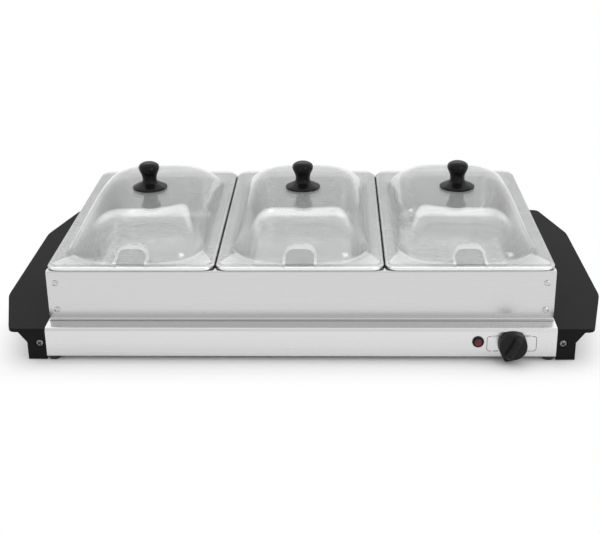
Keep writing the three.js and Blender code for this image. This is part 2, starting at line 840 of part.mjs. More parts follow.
function heatingElement() {
  const points = [[rodEnd, -runDeep, elementZ]];
  for (let run = 0; run < elementRuns; run += 1) {
    const y = run * runPitch - runDeep;
    const toLeft = run % 2 === 0 ? -1 : 1;
    if (run > 0) {
      points.push([-toLeft * runHalf, y, elementZ]);
    }
    if (run < elementRuns - 1) {
      points.push([toLeft * runHalf, y, elementZ]);
      for (let step = 1; step < bendSteps; step += 1) {
        const angle = (Math.PI * step) / bendSteps;
        const x = toLeft * (runHalf + bendRadius * Math.sin(angle));
        points.push([x, y + bendRadius * (1 - Math.cos(angle)), elementZ]);
      }
    }
  }
  points.push([rodEnd, runDeep, elementZ]);
  const rod = tube(points, elementRadius, elementSides);
  const pins = [-runDeep, runDeep].map((y) => {
    const pin = [
      [rodEnd - facetSink, y, elementZ],
      [elementEnd, y, elementZ],
    ];
    return tube(pin, pinRadius, elementSides);
  });
  return joined(rod, ...pins);
}

function elementClip(x) {
  const low = elementZ - elementRadius - seatGap - sheet / 2;
  const high = plateauTop - sheet - seatGap - sheet / 2;
  const deep = runDeep + clipOver;
  const corners = [
    [-deep - clipFoot, high],
    [-deep, high],
    [-deep, low],
    [deep, low],
    [deep, high],
    [deep + clipFoot, high],
  ];
  return alongX(foldedShape(corners, sheet), x - clipWidth / 2, x + clipWidth / 2);
}

// Mains entry: a snap bush in the back skirt and a terminal block on the cover
function cordGland() {
  const groove = [-sheet - seatGap, seatGap];
  const inside = groove[0] - glandInnerLength;
  const outside = groove[1] + glandLip;
  const profile = [
    [glandBore, inside],
    [glandBarrel - sheet, inside],
    [glandInnerLip, groove[0] - sheet],
    [glandInnerLip, groove[0]],
    [glandBarrel, groove[0]],
    [glandBarrel, groove[1]],
    [glandRadius, groove[1]],
    [glandRadius, outside - sheet],
    [glandRadius - sheet, outside],
    [glandBore, outside],
    [glandBore, inside],
  ];
  return turnedToBack(profile, roundSides, dialX, baseDeep, glandZ);
}

const blockY = baseDeep - blockBack;
const blockFoot = coverTop + seatGap;
const wayZ = blockFoot + blockHeight / 2;

function terminalBlock() {
  const x = [dialX - blockLength / 2, dialX + blockLength / 2];
  const y = [blockY - blockWidth / 2, blockY + blockWidth / 2];
  const body = block(...x, ...y, blockFoot, blockFoot + blockHeight);
  const stud = drillZ(dialX, blockY, coverBottom, blockFoot + facetSink, blockStud, elementSides);
  const ways = [-1, 0, 1].map((way) =>
    drillY(dialX + way * wayPitch, wayZ, y[0] - overrun, y[0] + wayDepth, wayRadius, elementSides),
  );
  return cut(joined(body, stud), ...ways);
}

// Leads: each runs straight out of what it joins, then along the cover
const leadZ = coverTop + seatGap + leadRadius;
const bladeEnd = bodyBack + bladeLength + seatGap;
const wayEnd = blockY - blockWidth / 2 + wayDepth - seatGap;
const lampEnd = -baseDeep + lampDepth + seatGap;
const bladeX = ends.map((end) => dialX + end.sign * bladeOut);
const wayX = [-1, 0, 1].map((way) => dialX + way * wayPitch);

function lead(corners) {
  return tube(roundedPath(corners, leadBend, foldSteps), leadRadius, tubeSides);
}

// From a way of the terminal block down to the cover
function fromBlock(x) {
  const out = blockY - blockWidth / 2 - leadStub;
  return [
    [x, wayEnd, wayZ],
    [x, out, wayZ],
    [x, out - leadBend, leadZ],
  ];
}

// From a pin of the heating element down to the cover
function fromPin(side) {
  const x = elementEnd + seatGap;
  const y = side * runDeep;
  return [
    [x, y, elementZ],
    [x + leadStub, y, elementZ],
    [x + leadStub + leadSpread, y, leadZ],
  ];
}

function fromBlade(x) {
  return [
    [x, bladeEnd, dialZ],
    [x, bladeEnd + leadStub, dialZ],
    [x, bladeEnd + leadStub + leadBend, leadZ],
  ];
}

function fromLamp(side) {
  const x = lampX + (side * leadSpread) / 2;
  return [
    [x, lampEnd, lampZ],
    [x, lampEnd + leadStub, lampZ],
    [x, lampEnd + leadStub + leadBend, leadZ],
  ];
}

// The lamp's live side clips on beside the switched terminal, its neutral side beside the back pin
function lampLiveRoute() {
  const y = bodyBack + bladeLength / 2;
  const x = bladeX[0] - bladeWidth / 2 - seatGap;
  return [...fromLamp(1).slice(0, 2), [x - leadStub, y, dialZ], [x, y, dialZ]];
}

function lampNeutralRoute() {
  const x = elementEnd - pinLength / 3;
  const y = runDeep - pinRadius - seatGap;
  const low = [lampX - leadSpread / 2, y - 2 * leadStub - leadBend, leadZ];
  return [...fromLamp(-1), low, [x, y - leadStub, elementZ], [x, y, elementZ]];
}

// The earth lead climbs to the underside of the warming plate
function earthRoute() {
  const [end, out] = fromBlock(wayX[1]);
  const y = out[1] - leadBend;
  return [end, out, [wayX[1], y, wayZ], [wayX[1], y, plateauTop - sheet - seatGap]];
}

const leadRoutes = {
  live_lead: [...fromBlock(wayX[2]), ...fromBlade(bladeX[1]).reverse()],
  neutral_lead: [...fromBlock(wayX[0]), ...fromPin(1).reverse()],
  element_lead: [...fromBlade(bladeX[0]), ...fromPin(-1).reverse()],
  lamp_live_lead: lampLiveRoute(),
  lamp_neutral_lead: lampNeutralRoute(),
  earth_lead: earthRoute(),
};

// Frame: front and back panels with a foot, side panels with riveted end tabs
const rivetLevels = [frameTop - rivetDrop, frameBottom + rivetRise];

function riveted(x, y0, y1) {
  const radius = clearRadius(rivetShank, elementSides);
  return rivetLevels.map((z) => drillY(x, z, y0, y1, radius, elementSides));
}

function longPanel() {
  const corners = [
    [-frameDeep - frameFoot, frameBottom + sheet / 2],
    [-frameDeep + sheet / 2, frameBottom + sheet / 2],
    [-frameDeep + sheet / 2, frameTop - sheet / 2],
    [-frameDeep + frameFlange, frameTop - sheet / 2],
  ];
  const panel = alongX(foldedShape(corners, frameFold), -frameHalf, frameHalf);
  const y = [-frameDeep - overrun, -frameDeep + sheet + overrun];
  const rivetX = frameHalf - rivetInset;
  return cut(panel, ...riveted(-rivetX, ...y), ...riveted(rivetX, ...y));
}

function sidePanel() {
  const corners = [
    [frameHalf - sheet / 2, frameBottom],
    [frameHalf - sheet / 2, frameTop - sheet / 2],
    [frameHalf - frameFlange, frameTop - sheet / 2],
  ];
  const deep = frameDeep - sheet - seatGap;
  const high = frameTop - sheet - frameFold;
  const web = alongY(foldedShape(corners, frameFold), -deep, deep);
  const x = [frameHalf - sheet - frameTab, frameHalf - sheet / 2];
  const rivetX = frameHalf - rivetInset;
  const tabs = sides.map((side) => {
    const y = [side.sign * deep, side.sign * (deep - sheet)].sort((a, b) => a - b);
    return block(...x, ...y, frameBottom + frameFold, high);
  });
  const reach = frameDeep - frameFlange - seatGap;
  const notches = sides.map((side) => {
    const y = [side.sign * reach, side.sign * (frameDeep + overrun)].sort((a, b) => a - b);
    return block(frameHalf - frameFlange - overrun, frameHalf + overrun, ...y, high, frameTop + overrun);
  });
  const bores = sides.flatMap((side) => {
    const y = [side.sign * deep - overrun, side.sign * deep + overrun];
    return riveted(rivetX, ...y);
  });
  return cut(cut(joined(web, ...tabs), ...notches), ...bores);
}

// A blind rivet through a long panel and the tab behind it
function rivet() {
  const grip = 2 * sheet + 2 * seatGap;
  const profile = [
    [0, -grip - rivetTailLength],
    [rivetTail, -grip - rivetTailLength],
    [rivetTail, -grip],
    [rivetShank, -grip],
    [rivetShank, seatGap],
    [rivetHead, seatGap],
    [rivetHead / 2, seatGap + rivetHeadHeight],
    [0, seatGap + rivetHeadHeight],
  ];
  return turnedToFront(profile, elementSides, 0, -frameDeep, 0);
}

// Pan: a pressed cup with a rolled rim
const panHalfX = panWidth / 2;
const panHalfY = panDepth / 2;
const openHalfX = panHalfX - rimFlange;
const openHalfY = panHalfY - rimFlange;

function openingRing(inset, z) {
  return ringAt(openHalfX - inset, openHalfY - inset, openingCorner - inset, z);
}

function rimRing(inset, z) {
  return ringAt(panHalfX - inset, panHalfY - inset, panCorner - inset, z);
}

// Rings down the mouth fillet, then down the wall and round the floor fillet
function panWall(skin) {
  const rings = [];
  const mouth = panMouthFillet - skin;
  for (let step = 0; step < foldSteps; step += 1) {
    const angle = (Math.PI / 2) * (step / (foldSteps - 1));
    const inset = mouth * Math.sin(angle) - panMouthFillet;
    rings.push(openingRing(inset, rimTop - panMouthFillet + mouth * Math.cos(angle)));
  }
  const floor = panFloorFillet + skin;
  for (let step = 0; step <= foldSteps; step += 1) {
    const angle = (Math.PI / 2) * (step / foldSteps);
    const inset = wallLean + panFloorFillet - floor * Math.cos(angle);
    rings.push(openingRing(inset, panBottom + sheet + panFloorFillet - floor * Math.sin(angle)));
  }
  return rings;
}

function pan() {
  const edge = rimHeight / 3;
  return loft([
    ...panWall(sheet).reverse(),
    rimRing(rimRoll, rimTop - sheet),
    rimRing(rimRoll, rimBottom + edge),
    rimRing(rimRoll - edge, rimBottom),
    rimRing(edge, rimBottom),
    rimRing(0, rimBottom + edge),
    rimRing(0, rimTop - edge),
    rimRing(edge, rimTop),
    ...panWall(0),
  ]);
}

// Lid: a flat edge and an arched dome whose sides stand round and whose ends stand steep
const domeHalfX = openHalfX - domeSideStep;
const domeHalfY = openHalfY - domeEndStep;
const beadWidth = domeSideStep + lidWall - beadGap;

function domeRing(share, inset, foot) {
  const half = [domeHalfX - inset, domeHalfY - inset];
  const extras = [cornerSteps, domeLongExtras, domeShortExtras];
  return roundedRectangle(...half, domeCorner - inset, ...extras).map(([x, y]) => {
    const across = (x / half[0]) ** 2;
    const sideways = across / (across + (y / half[1]) ** 2);
    const power = THREE.MathUtils.lerp(crownPowerShares.end, crownPowerShares.side, sideways);
    const root = THREE.MathUtils.lerp(crownRootShares.end, crownRootShares.side, sideways);
    const height = crownHeight * (1 - share ** power) ** root;
    return [share * x, share * y, foot + height];
  });
}

function lidEdgeRing(halfX, halfY, radius, z) {
  const extras = [cornerSteps, domeLongExtras, domeShortExtras];
  return roundedRectangle(halfX, halfY, radius, ...extras).map(([x, y]) => [x, y, z]);
}

function lidSkin(rise) {
  const inner = [domeHalfX - lidWall, domeHalfY - lidWall, domeCorner - lidWall];
  const bead = inner.map((size) => size + beadWidth);
  const edge = [panHalfX - lidInset, panHalfY - lidInset, lidCorner];
  return loft([
    ...domeRingShares.map((share) => domeRing(share, lidWall, lidSeat)),
    lidEdgeRing(...inner, lidSeat - beadDrop),
    lidEdgeRing(...bead, lidSeat - beadDrop),
    lidEdgeRing(...bead, lidSeat),
    lidEdgeRing(...edge, lidSeat),
    lidEdgeRing(...edge, lidFlat + rise),
    ...domeRingShares.map((share) => domeRing(share, -rise, lidFlat + rise)).reverse(),
  ]);
}

// The spoon notch's outline, widened by a border
function notchPrism(border) {
  const half = notchWidth / 2 + border;
  const top = lidFlat + notchHeight + border;
  const radius = notchCorner + border;
  const shape = new THREE.Shape();
  shape.moveTo(-half, lidSeat - beadDrop - overrun);
  shape.lineTo(half, lidSeat - beadDrop - overrun);
  shape.absarc(half - radius, top - radius, radius, 0, Math.PI / 2);
  shape.absarc(radius - half, top - radius, radius, Math.PI / 2, Math.PI);
  return alongY(shape, -panHalfY - overrun, notchReach - domeHalfY);
}

function lid() {
  const border = solidOf(lidSkin(notchBorderRise)).intersect(solidOf(notchPrism(notchBorder)));
  const whole = solidOf(lidSkin(0)).add(border);
  const hole = drillZ(0, 0, lidFlat, crownTop + overrun, clearRadius(screwShank, elementSides), elementSides);
  return geometryOf(whole.subtract(solidOf(notchPrism(0))).subtract(solidOf(hole)));
}

function lidKnob() {
  const [neckStart, neckSlim, neckEnd] = knobNeckShares.map((share) => share * knobHeight);
  const [headWide, headClose] = knobHeadShares.map((share) => share * knobHeight);
  const profile = [
    [0, 0],
    [knobDisk - knobDiskEdge / 2, 0],
    [knobDisk, knobDiskEdge / 2],
    [knobDisk - knobDiskEdge / 2, knobDiskEdge],
    [(knobDisk + knobNeck) / 2, (knobDiskEdge + neckStart) / 2],
    [(knobNeck + knobHead) / 2, neckStart],
    [knobNeck, neckSlim],
    [knobNeck, neckEnd],
    [knobHead, headWide],
    [(knobHead + knobHead * knobCrownShare) / 2, headClose],
    [knobHead * knobCrownShare, knobHeight],
    [0, knobHeight],
  ];
  const boreTop = lidScrewLength - lidWall - seatGap + overrun;
  const bore = drillZ(0, 0, -overrun, boreTop, clearRadius(screwShank, elementSides), elementSides);
  return cut(turned(profile, fineSides), bore).translate(0, 0, crownTop + seatGap);
}

// Warming base and what it holds
place("base_shell", baseShell(), steel);
place("bottom_cover", bottomCover(), plated);
place("heating_element", heatingElement(), plated);
const clipOut = runHalf - clipInset;
[-clipOut, 0, clipOut].forEach((x, i) => place(`element_clip_${i + 1}`, elementClip(x), plated));
place("thermostat_body", thermostatBody(), paleInsulation);
place("thermostat_nut", thermostatNut(), plated);
place("thermostat_shaft", thermostatShaft(), plated);
place("control_knob", controlKnob(), blackPlastic);
place("lamp_holder", lampHolder(), blackPlastic);
place("lamp_lens", lampLens(), redLens);
place("cord_gland", cordGland(), blackPlastic);
place("terminal_block", terminalBlock(), paleInsulation);
Object.entries(leadRoutes).forEach(([name, route]) => place(name, lead(route), paleInsulation));

for (const side of sides) {
  for (const end of ends) {
    const corner = `${side.word}_${end.word}`;
    place(`foot_${corner}`, rubberFoot(), rubber).position.set(end.sign * footX, side.sign * footY, 0);
    const coverScrew = place(
      `cover_screw_${corner}`,
      crossScrew(screwLength, screwHead, screwHeadHeight, screwShank),
      plated,
    );
    coverScrew.position.set(end.sign * coverScrewX, side.sign * coverScrewY, coverBottom - seatGap);
    const handleScrew = place(
      `handle_screw_${corner}`,
      crossScrew(screwLength, screwHead, screwHeadHeight, screwShank),
      plated,
    );
    const seat = side.sign * (handleFront - counterboreDepth + seatGap);
    handleScrew.position.set(end.sign * (baseHalf + screwFromEnd), seat, screwRise);
    handleScrew.rotation.x = (side.sign * Math.PI) / 2;
  }
}

for (const end of ends) {
  const mirrored = new THREE.Group();
  mirrored.scale.x = end.sign;
  server.add(mirrored);
  place(`${end.word}_handle`, handle(), blackPlastic, mirrored);
  place(`frame_${end.word}`, sidePanel(), steel, mirrored);
}

// Frame, pans and lids
for (const side of sides) {
  const turnedRound = new THREE.Group();
  turnedRound.rotation.z = side.sign > 0 ? Math.PI : 0;
  server.add(turnedRound);
  place(`frame_${side.word}`, longPanel(), steel, turnedRound);
  let count = 0;
  for (const x of [-1, 1]) {
    for (const z of rivetLevels) {
      count += 1;
      const one = place(`rivet_${side.word}_${count}`, rivet(), plated, turnedRound);
      one.position.set(x * (frameHalf - rivetInset), 0, z);
    }
  }
}

for (const { word, x } of pans) {
  const stack = new THREE.Group();
  stack.position.x = x;
  server.add(stack);
  place(`pan_${word}`, pan(), polished, stack);
  place(`lid_${word}`, lid(), clearPlastic, stack);
  place(`lid_knob_${word}`, lidKnob(), glossBlack, stack);
  const screw = place(
    `lid_screw_${word}`,
    crossScrew(lidScrewLength, lidScrewHead, lidScrewHeadHeight, screwShank),
    plated,
    stack,
  );
  screw.position.z = crownTop - lidWall - seatGap;
}

export default server;
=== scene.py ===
# %% [markdown]
# # A three-pan buffet server
#
# An electric buffet server keeps dishes warm. A low stainless base holds the
# heating rod, a loose stainless frame stands on it, and three steel pans hang
# in the frame under clear lids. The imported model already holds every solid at
# its real size. This notebook gives what shows its smooth surface and its
# finish, then sets up a white studio and a camera.

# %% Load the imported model
import json
import math

import bpy
import numpy as np
from mathutils import Matrix, Vector


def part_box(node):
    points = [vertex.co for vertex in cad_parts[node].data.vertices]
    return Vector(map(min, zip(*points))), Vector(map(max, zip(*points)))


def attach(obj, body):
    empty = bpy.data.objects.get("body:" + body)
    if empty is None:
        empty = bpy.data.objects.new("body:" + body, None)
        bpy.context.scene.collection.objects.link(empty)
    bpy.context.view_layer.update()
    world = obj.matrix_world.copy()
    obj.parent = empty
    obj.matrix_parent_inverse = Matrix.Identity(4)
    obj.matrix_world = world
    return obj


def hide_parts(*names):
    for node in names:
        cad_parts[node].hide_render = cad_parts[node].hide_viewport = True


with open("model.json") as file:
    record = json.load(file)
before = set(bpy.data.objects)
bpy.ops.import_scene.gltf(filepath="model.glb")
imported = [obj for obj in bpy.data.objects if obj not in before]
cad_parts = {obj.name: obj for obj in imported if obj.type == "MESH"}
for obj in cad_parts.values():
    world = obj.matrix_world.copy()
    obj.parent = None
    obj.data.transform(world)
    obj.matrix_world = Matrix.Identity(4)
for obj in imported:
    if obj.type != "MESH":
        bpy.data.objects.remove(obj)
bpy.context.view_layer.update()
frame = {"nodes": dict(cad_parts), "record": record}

MM = 0.001
WORDS = ("left", "middle", "right")
SIDES = ("front", "back")
ENDS = ("left", "right")
SEAT_GAP = 0.3
SHEET = 0.8
nodes = frame["nodes"]
print("solids in the packed model:", len(nodes))

# %% [markdown]
# ## The camera
#
# The picture is taken from in front and above, a little right of the middle.
# The direction is three angles: yaw to the left, pitch down and a slight roll.
# A camera looks along its own -Z, so its axes are built from those angles and
# go into its matrix as columns.

# %% Camera
YAW, PITCH, ROLL = (math.radians(angle) for angle in (1.84, 22.28, -0.73))
CAMERA_AT = Vector((0.035, -1.221, 0.5333))
LENS = 69
SENSOR = 36


def placed(name, data):
    """An object in the scene that shows this data."""
    obj = bpy.data.objects.new(name, data)
    bpy.context.scene.collection.objects.link(obj)
    return obj


ahead = Vector((-math.sin(YAW) * math.cos(PITCH), math.cos(YAW) * math.cos(PITCH), -math.sin(PITCH)))
level = Vector((math.cos(YAW), math.sin(YAW), 0))
upward = level.cross(ahead)
camera_x = math.cos(ROLL) * level + math.sin(ROLL) * upward
camera_y = math.cos(ROLL) * upward - math.sin(ROLL) * level
lens = bpy.data.cameras.new("camera")
lens.lens, lens.sensor_width, lens.sensor_fit = LENS, SENSOR, "HORIZONTAL"
camera = placed("camera", lens)
camera.matrix_world = Matrix.Translation(CAMERA_AT) @ Matrix((camera_x, camera_y, -ahead)).transposed().to_4x4()
bpy.context.scene.camera = camera
print("camera height in mm:", round(CAMERA_AT.z / MM))

# %% [markdown]
# ## Surfaces from arrays
#
# A shape is a grid of points: rows are rings along the piece and columns run
# round it. Quads join neighbouring rings, and each end closes on a middle
# point, so the skin has no hole. A form is such an array of points with its
# arrays of faces, in millimetres. Its volume tells which way the faces look.

# %% Grids to closed skins
def band(rows, columns, joined_rows=False):
    """Quads between each ring of a grid and the next, round all columns; the last ring may join the first."""
    row = np.arange(rows if joined_rows else rows - 1)[:, None]
    column = np.arange(columns)[None, :]
    after = (column + 1) % columns
    below = (row + 1) % rows
    ring = (row * columns + column, row * columns + after, below * columns + after, below * columns + column)
    return np.stack(ring, -1).reshape(-1, 4)


def loft(grid):
    """A closed skin over rings of points, with a fan on the middle of the first and last ring."""
    rows, columns, _ = grid.shape
    around = np.arange(columns)
    after = (around + 1) % columns
    last = (rows - 1) * columns
    start = np.stack([after, around, np.full(columns, rows * columns)], 1)
    end = np.stack([last + around, last + after, np.full(columns, rows * columns + 1)], 1)
    middles = np.stack([grid[0].mean(0), grid[-1].mean(0)])
    return np.concatenate([grid.reshape(-1, 3), middles]), [band(rows, columns), start, end]


ALONG_X, ALONG_Y, UPRIGHT = (1, 2, 0), (0, 2, 1), (0, 1, 2)


def prism(outline, start, end, axes=ALONG_X):
    """An outline in two axes carried along the third from start to end, closed by one face at each end."""
    count = len(outline)
    points = np.zeros((2, count, 3))
    points[:, :, axes[0]] = outline[:, 0]
    points[:, :, axes[1]] = outline[:, 1]
    points[:, :, axes[2]] = np.array([start, end])[:, None]
    cap = np.arange(count)
    return points.reshape(-1, 3), [band(2, count), cap[None, ::-1], cap[None] + count]


def box_form(low, high, signs=(1, 1, 1)):
    """A box between two opposite corners, which signs can mirror."""
    low, high = np.multiply(low, signs), np.multiply(high, signs)
    low, high = np.minimum(low, high), np.maximum(low, high)
    outline = np.array([(low[1], low[2]), (high[1], low[2]), (high[1], high[2]), (low[1], high[2])])
    return prism(outline, low[0], high[0])


def joined(*forms):
    """Several forms as one, each with its faces numbered on from those before it."""
    counts = np.cumsum([0] + [len(points) for points, _ in forms])
    faces = [part + count for (_, parts), count in zip(forms, counts) for part in parts]
    return np.concatenate([points for points, _ in forms]), faces


def shifted(form, offset):
    return form[0] + np.array(offset, float), form[1]


def turned(form, matrix):
    """A form with each point multiplied by a 3 x 3 matrix."""
    return form[0] @ np.array(matrix, float).T, form[1]


def outward(form):
    """Turns the faces over where the volume under them, a sum of signed tetrahedra, is negative."""
    points, parts = form
    volume = 0.0
    for part in parts:
        for k in range(1, part.shape[1] - 1):
            a, b, c = (points[part[:, i]] for i in (0, k, k + 1))
            volume += np.einsum("ij,ij->", a, np.cross(b, c))
    return points, parts if volume > 0 else [part[:, ::-1] for part in parts]


def mesh_of(name, *forms):
    """A mesh in metres from closed forms in millimetres, each turned outward first."""
    points, parts = joined(*(outward(form) for form in forms))
    mesh = bpy.data.meshes.new(name)
    mesh.from_pydata((points * MM).tolist(), [], [face for part in parts for face in part.tolist()])
    return mesh


# %% [markdown]
# ## Outlines and profiles
#
# Most parts here are rounded rectangles at changing sizes. One walk round such
# a rectangle is kept as four numbers for each point: which corner centre it
# belongs to, in x and y, and the direction from it. Any ring is then a single
# sum over that walk. Profiles are short runs of straight lines and arcs.

# %% Rounded rectangles, arcs and smooth lines
def walk_round(corner_steps, long_steps, short_steps):
    """A walk round a rounded rectangle: the corner's signs in x and y, then cosine and sine from its centre."""
    legs = []
    for quarter, steps in enumerate((short_steps, long_steps) * 2):
        angle = (quarter + np.linspace(0, 1, corner_steps + 1)) * math.pi / 2
        sign = np.array([(1, 1), (-1, 1), (-1, -1), (1, -1)][quarter])
        following = np.array([(-1, 1), (-1, -1), (1, -1), (1, 1)][quarter])
        arc_part = np.concatenate([np.tile(sign, (len(angle), 1)), np.stack([np.cos(angle), np.sin(angle)], 1)], 1)
        share = np.linspace(0, 1, steps + 2)[1:-1, None]
        straight = np.concatenate([sign + (following - sign) * share, np.tile(arc_part[-1, 2:], (steps, 1))], 1)
        legs += [arc_part, straight]
    return np.concatenate(legs)


def rings(walk, half_x, half_y, radius, height):
    """One rounded rectangle for each entry: corner centre plus radius times direction, at its height."""
    half_x, half_y, radius, height = (
        np.atleast_1d(value).astype(float)[:, None] for value in np.broadcast_arrays(half_x, half_y, radius, height)
    )
    sign_x, sign_y, cosine, sine = walk.T
    x = sign_x * (half_x - radius) + radius * cosine
    y = sign_y * (half_y - radius) + radius * sine
    return np.stack([x, y, height + 0 * x], -1)


def inset_rings(walk, half, corner, section):
    """Rings of one rounded rectangle from pairs of how far it is set in and how high."""
    inset, height = np.array(section, float).T
    return rings(walk, half[0] - inset, half[1] - inset, corner - inset, height)


def arc(centre, radius, start, end, steps):
    """Points on an arc from one angle to another, in degrees."""
    angle = np.radians(np.linspace(start, end, steps + 1))
    return np.array(centre) + radius * np.stack([np.cos(angle), np.sin(angle)], 1)


def arched(half, bottom, top, corner, steps):
    """An outline with a straight foot and sides, and an arc at each upper corner."""
    foot = [(-half, bottom), (half, bottom)]
    first = arc((half - corner, top - corner), corner, 0, 90, steps)
    second = arc((corner - half, top - corner), corner, 90, 180, steps)
    return np.concatenate([foot, first, second])


def smooth_line(knots, steps):
    """A Catmull-Rom curve: through each knot, with a slope parallel to the line between its two neighbours."""
    knots = np.array(knots, float)
    padded = np.concatenate([2 * knots[:1] - knots[1:2], knots, 2 * knots[-1:] - knots[-2:-1]])
    t = np.linspace(0, 1, steps, endpoint=False)[None, :, None]
    before, start, end, after = (padded[i : len(knots) - 1 + i, None] for i in range(4))
    curve = 0.5 * (
        2 * start
        + (end - before) * t
        + (2 * before - 5 * start + 4 * end - after) * t**2
        + (3 * start - before - 3 * end + after) * t**3
    )
    return np.concatenate([curve.reshape(-1, knots.shape[1]), knots[-1:]])


def spun(profile, sides):
    """Rings from a profile of radius and height turned round Z."""
    angle = np.linspace(0, 2 * math.pi, sides, endpoint=False)
    radius, height = np.array(profile, float).T[:, :, None]
    return np.stack([radius * np.cos(angle), radius * np.sin(angle), height + 0 * angle], -1)


def lathe(profile, sides):
    """A turned profile with a fan at each end."""
    return loft(spun(profile, sides))


FOLD_STEPS = 8


def folded(corners, radii):
    """A folded sheet's outline: the middle line with an arc at each fold, and half the sheet to each side of it."""
    corners = np.array(corners, float)
    ways = np.diff(corners, axis=0)
    ways /= np.linalg.norm(ways, axis=1, keepdims=True)
    lefts = np.stack([-ways[:, 1], ways[:, 0]], 1)
    middle, normal = [corners[:1]], [lefts[:1]]
    for i, radius in enumerate(radii):
        before, after = ways[i], ways[i + 1]
        bend = math.atan2(before[0] * after[1] - before[1] * after[0], before @ after)
        side = math.copysign(radius, bend)
        centre = corners[i + 1] - before * radius * math.tan(abs(bend) / 2) + lefts[i] * side
        angle = np.linspace(0, bend, FOLD_STEPS + 1)
        cosine, sine = np.cos(angle), np.sin(angle)
        x, y = lefts[i]
        left = np.stack([x * cosine - y * sine, x * sine + y * cosine], 1)
        middle.append(centre - left * side)
        normal.append(left)
    middle = np.concatenate(middle + [corners[-1:]])
    normal = np.concatenate(normal + [lefts[-1:]])
    return np.concatenate([middle + normal * SHEET / 2, (middle - normal * SHEET / 2)[::-1]])


def corners_of(node):
    """A node's lowest and highest corner, in millimetres."""
    low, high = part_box(node)
    return np.array(low) / MM, np.array(high) / MM


def middle_of(node):
    """The middle of that box."""
    return sum(corners_of(node)) / 2


# %% [markdown]
# ## Finishes as sums of nodes
#
# A finish is a material whose look is worked out for each point. A small class
# wraps a socket, so that a sum written in Python adds the Math nodes for it.
# One method adds any other node from its type, its settings and its sockets.
# All patterns read Object coordinates, in metres, which stay with the piece.

# %% Shader sums and finishes
def connect(tree, value, socket):
    if isinstance(value, Wire):
        tree.links.new(value.socket, socket)
    else:
        socket.default_value = value


class Wire:
    """An output socket that takes part in Python sums."""

    def __init__(self, tree, socket):
        self.tree, self.socket = tree, socket

    def with_math(self, operation, *others):
        node = self.tree.nodes.new("ShaderNodeMath")
        node.operation = operation
        for value, socket in zip((self, *others), node.inputs):
            connect(self.tree, value, socket)
        return Wire(self.tree, node.outputs[0])

    def __add__(self, other):
        return self.with_math("ADD", other)

    def __sub__(self, other):
        return self.with_math("SUBTRACT", other)

    def __mul__(self, other):
        return self.with_math("MULTIPLY", other)

    def __pow__(self, other):
        return self.with_math("POWER", other)

    def __abs__(self):
        return self.with_math("ABSOLUTE")

    __radd__ = __add__


class Finish:
    """A node tree under construction, with the record's slot that it belongs to."""

    def __init__(self, name, slot=None, owner=None):
        self.owner = owner or bpy.data.materials.new(name)
        self.owner.use_nodes = True
        self.slot = slot
        self.tree = self.owner.node_tree
        self.tree.nodes.clear()

    def node(self, kind, settings=None, sockets=None, output=0):
        node = self.tree.nodes.new("ShaderNode" + kind)
        for key, value in (settings or {}).items():
            if key == "stops":
                while len(node.color_ramp.elements) < len(value):
                    node.color_ramp.elements.new(1)
                for element, (place, colour) in zip(node.color_ramp.elements, value):
                    element.position, element.color = place, colour
            else:
                setattr(node, key, value)
        for key, value in (sockets or {}).items():
            connect(self.tree, value, node.inputs[key])
        return Wire(self.tree, node.outputs[output])

    def noise(self, scale, detail=2):
        """Noise over Object coordinates, each axis with its own number of features per metre."""
        place = self.node("TexCoord", output="Object")
        stretched = self.node("Mapping", sockets={"Vector": place, "Scale": scale})
        sockets = {"Vector": stretched, "Scale": 1.0, "Detail": detail, "Roughness": 0.5}
        return self.node("TexNoise", sockets=sockets)

    def coordinate(self, axis, space="Object"):
        """One coordinate of the point that is shaded."""
        place = self.node("TexCoord", output=space)
        return self.node("SeparateXYZ", sockets={"Vector": place}, output=axis)

    def blend(self, share, first, second):
        """A colour between two others."""
        return self.node("Mix", {"data_type": "RGBA"}, {0: share, 6: first, 7: second}, output=2)

    def bump(self, height, distance):
        return self.node("Bump", sockets={"Strength": 1.0, "Distance": distance, "Height": height})

    def surface(self, shader):
        """Ends the tree with its output node."""
        kind = "Material" if isinstance(self.owner, bpy.types.Material) else "World"
        end = self.tree.nodes.new("ShaderNodeOutput" + kind)
        self.tree.links.new(shader.socket, end.inputs["Surface"])
        return self

    def plain(self, **sockets):
        """Ends the tree in one Principled shader; underscores in the names stand for spaces."""
        named = {key.replace("_", " "): value for key, value in sockets.items()}
        return self.surface(self.node("BsdfPrincipled", sockets=named))


def grey(level, blue=1.0):
    return (level, level, level * blue, 1)


# %% [markdown]
# ## Stainless steel
#
# The base and the frame are brushed along their length: fine scratches spread
# a reflection across the brushing and keep it sharp along it. A bump of long
# thin noise does this, with a coarser one that varies roughness in streaks.
# The pans are pressed and polished, so they are smoother, with faint draw
# marks; their rolled front and back edges get a much lighter colour, which is
# a painted highlight. Small fittings are zinc plated, a soft mottled grey.

# %% Metal finishes
SCRATCHES = (2600, 14)
STREAKS = (420, 3)
SCRATCH_DEPTH = 0.016 * MM
DRAW_DEPTH = 0.006 * MM
PIT_DEPTH = 0.01 * MM


def brushed_steel(name, along, level):
    """Scratches run along one axis: few noise features per metre that way, many across."""
    finish = Finish(name, "brushed_steel")

    def stretched(fine, coarse):
        scale = [fine] * 3
        scale[along] = coarse
        return finish.noise(tuple(scale), detail=3)

    scratches = stretched(*SCRATCHES)
    streaks = stretched(*STREAKS)
    cloud = finish.noise((5, 5, 5))
    tone = finish.blend(streaks, grey(level * 0.93), grey(level * 1.07))
    return finish.plain(
        Base_Color=finish.blend(cloud, tone, grey(level)),
        Metallic=1.0,
        Roughness=streaks * 0.12 + cloud * 0.06 + 0.17,
        Normal=finish.bump(scratches, SCRATCH_DEPTH),
    )


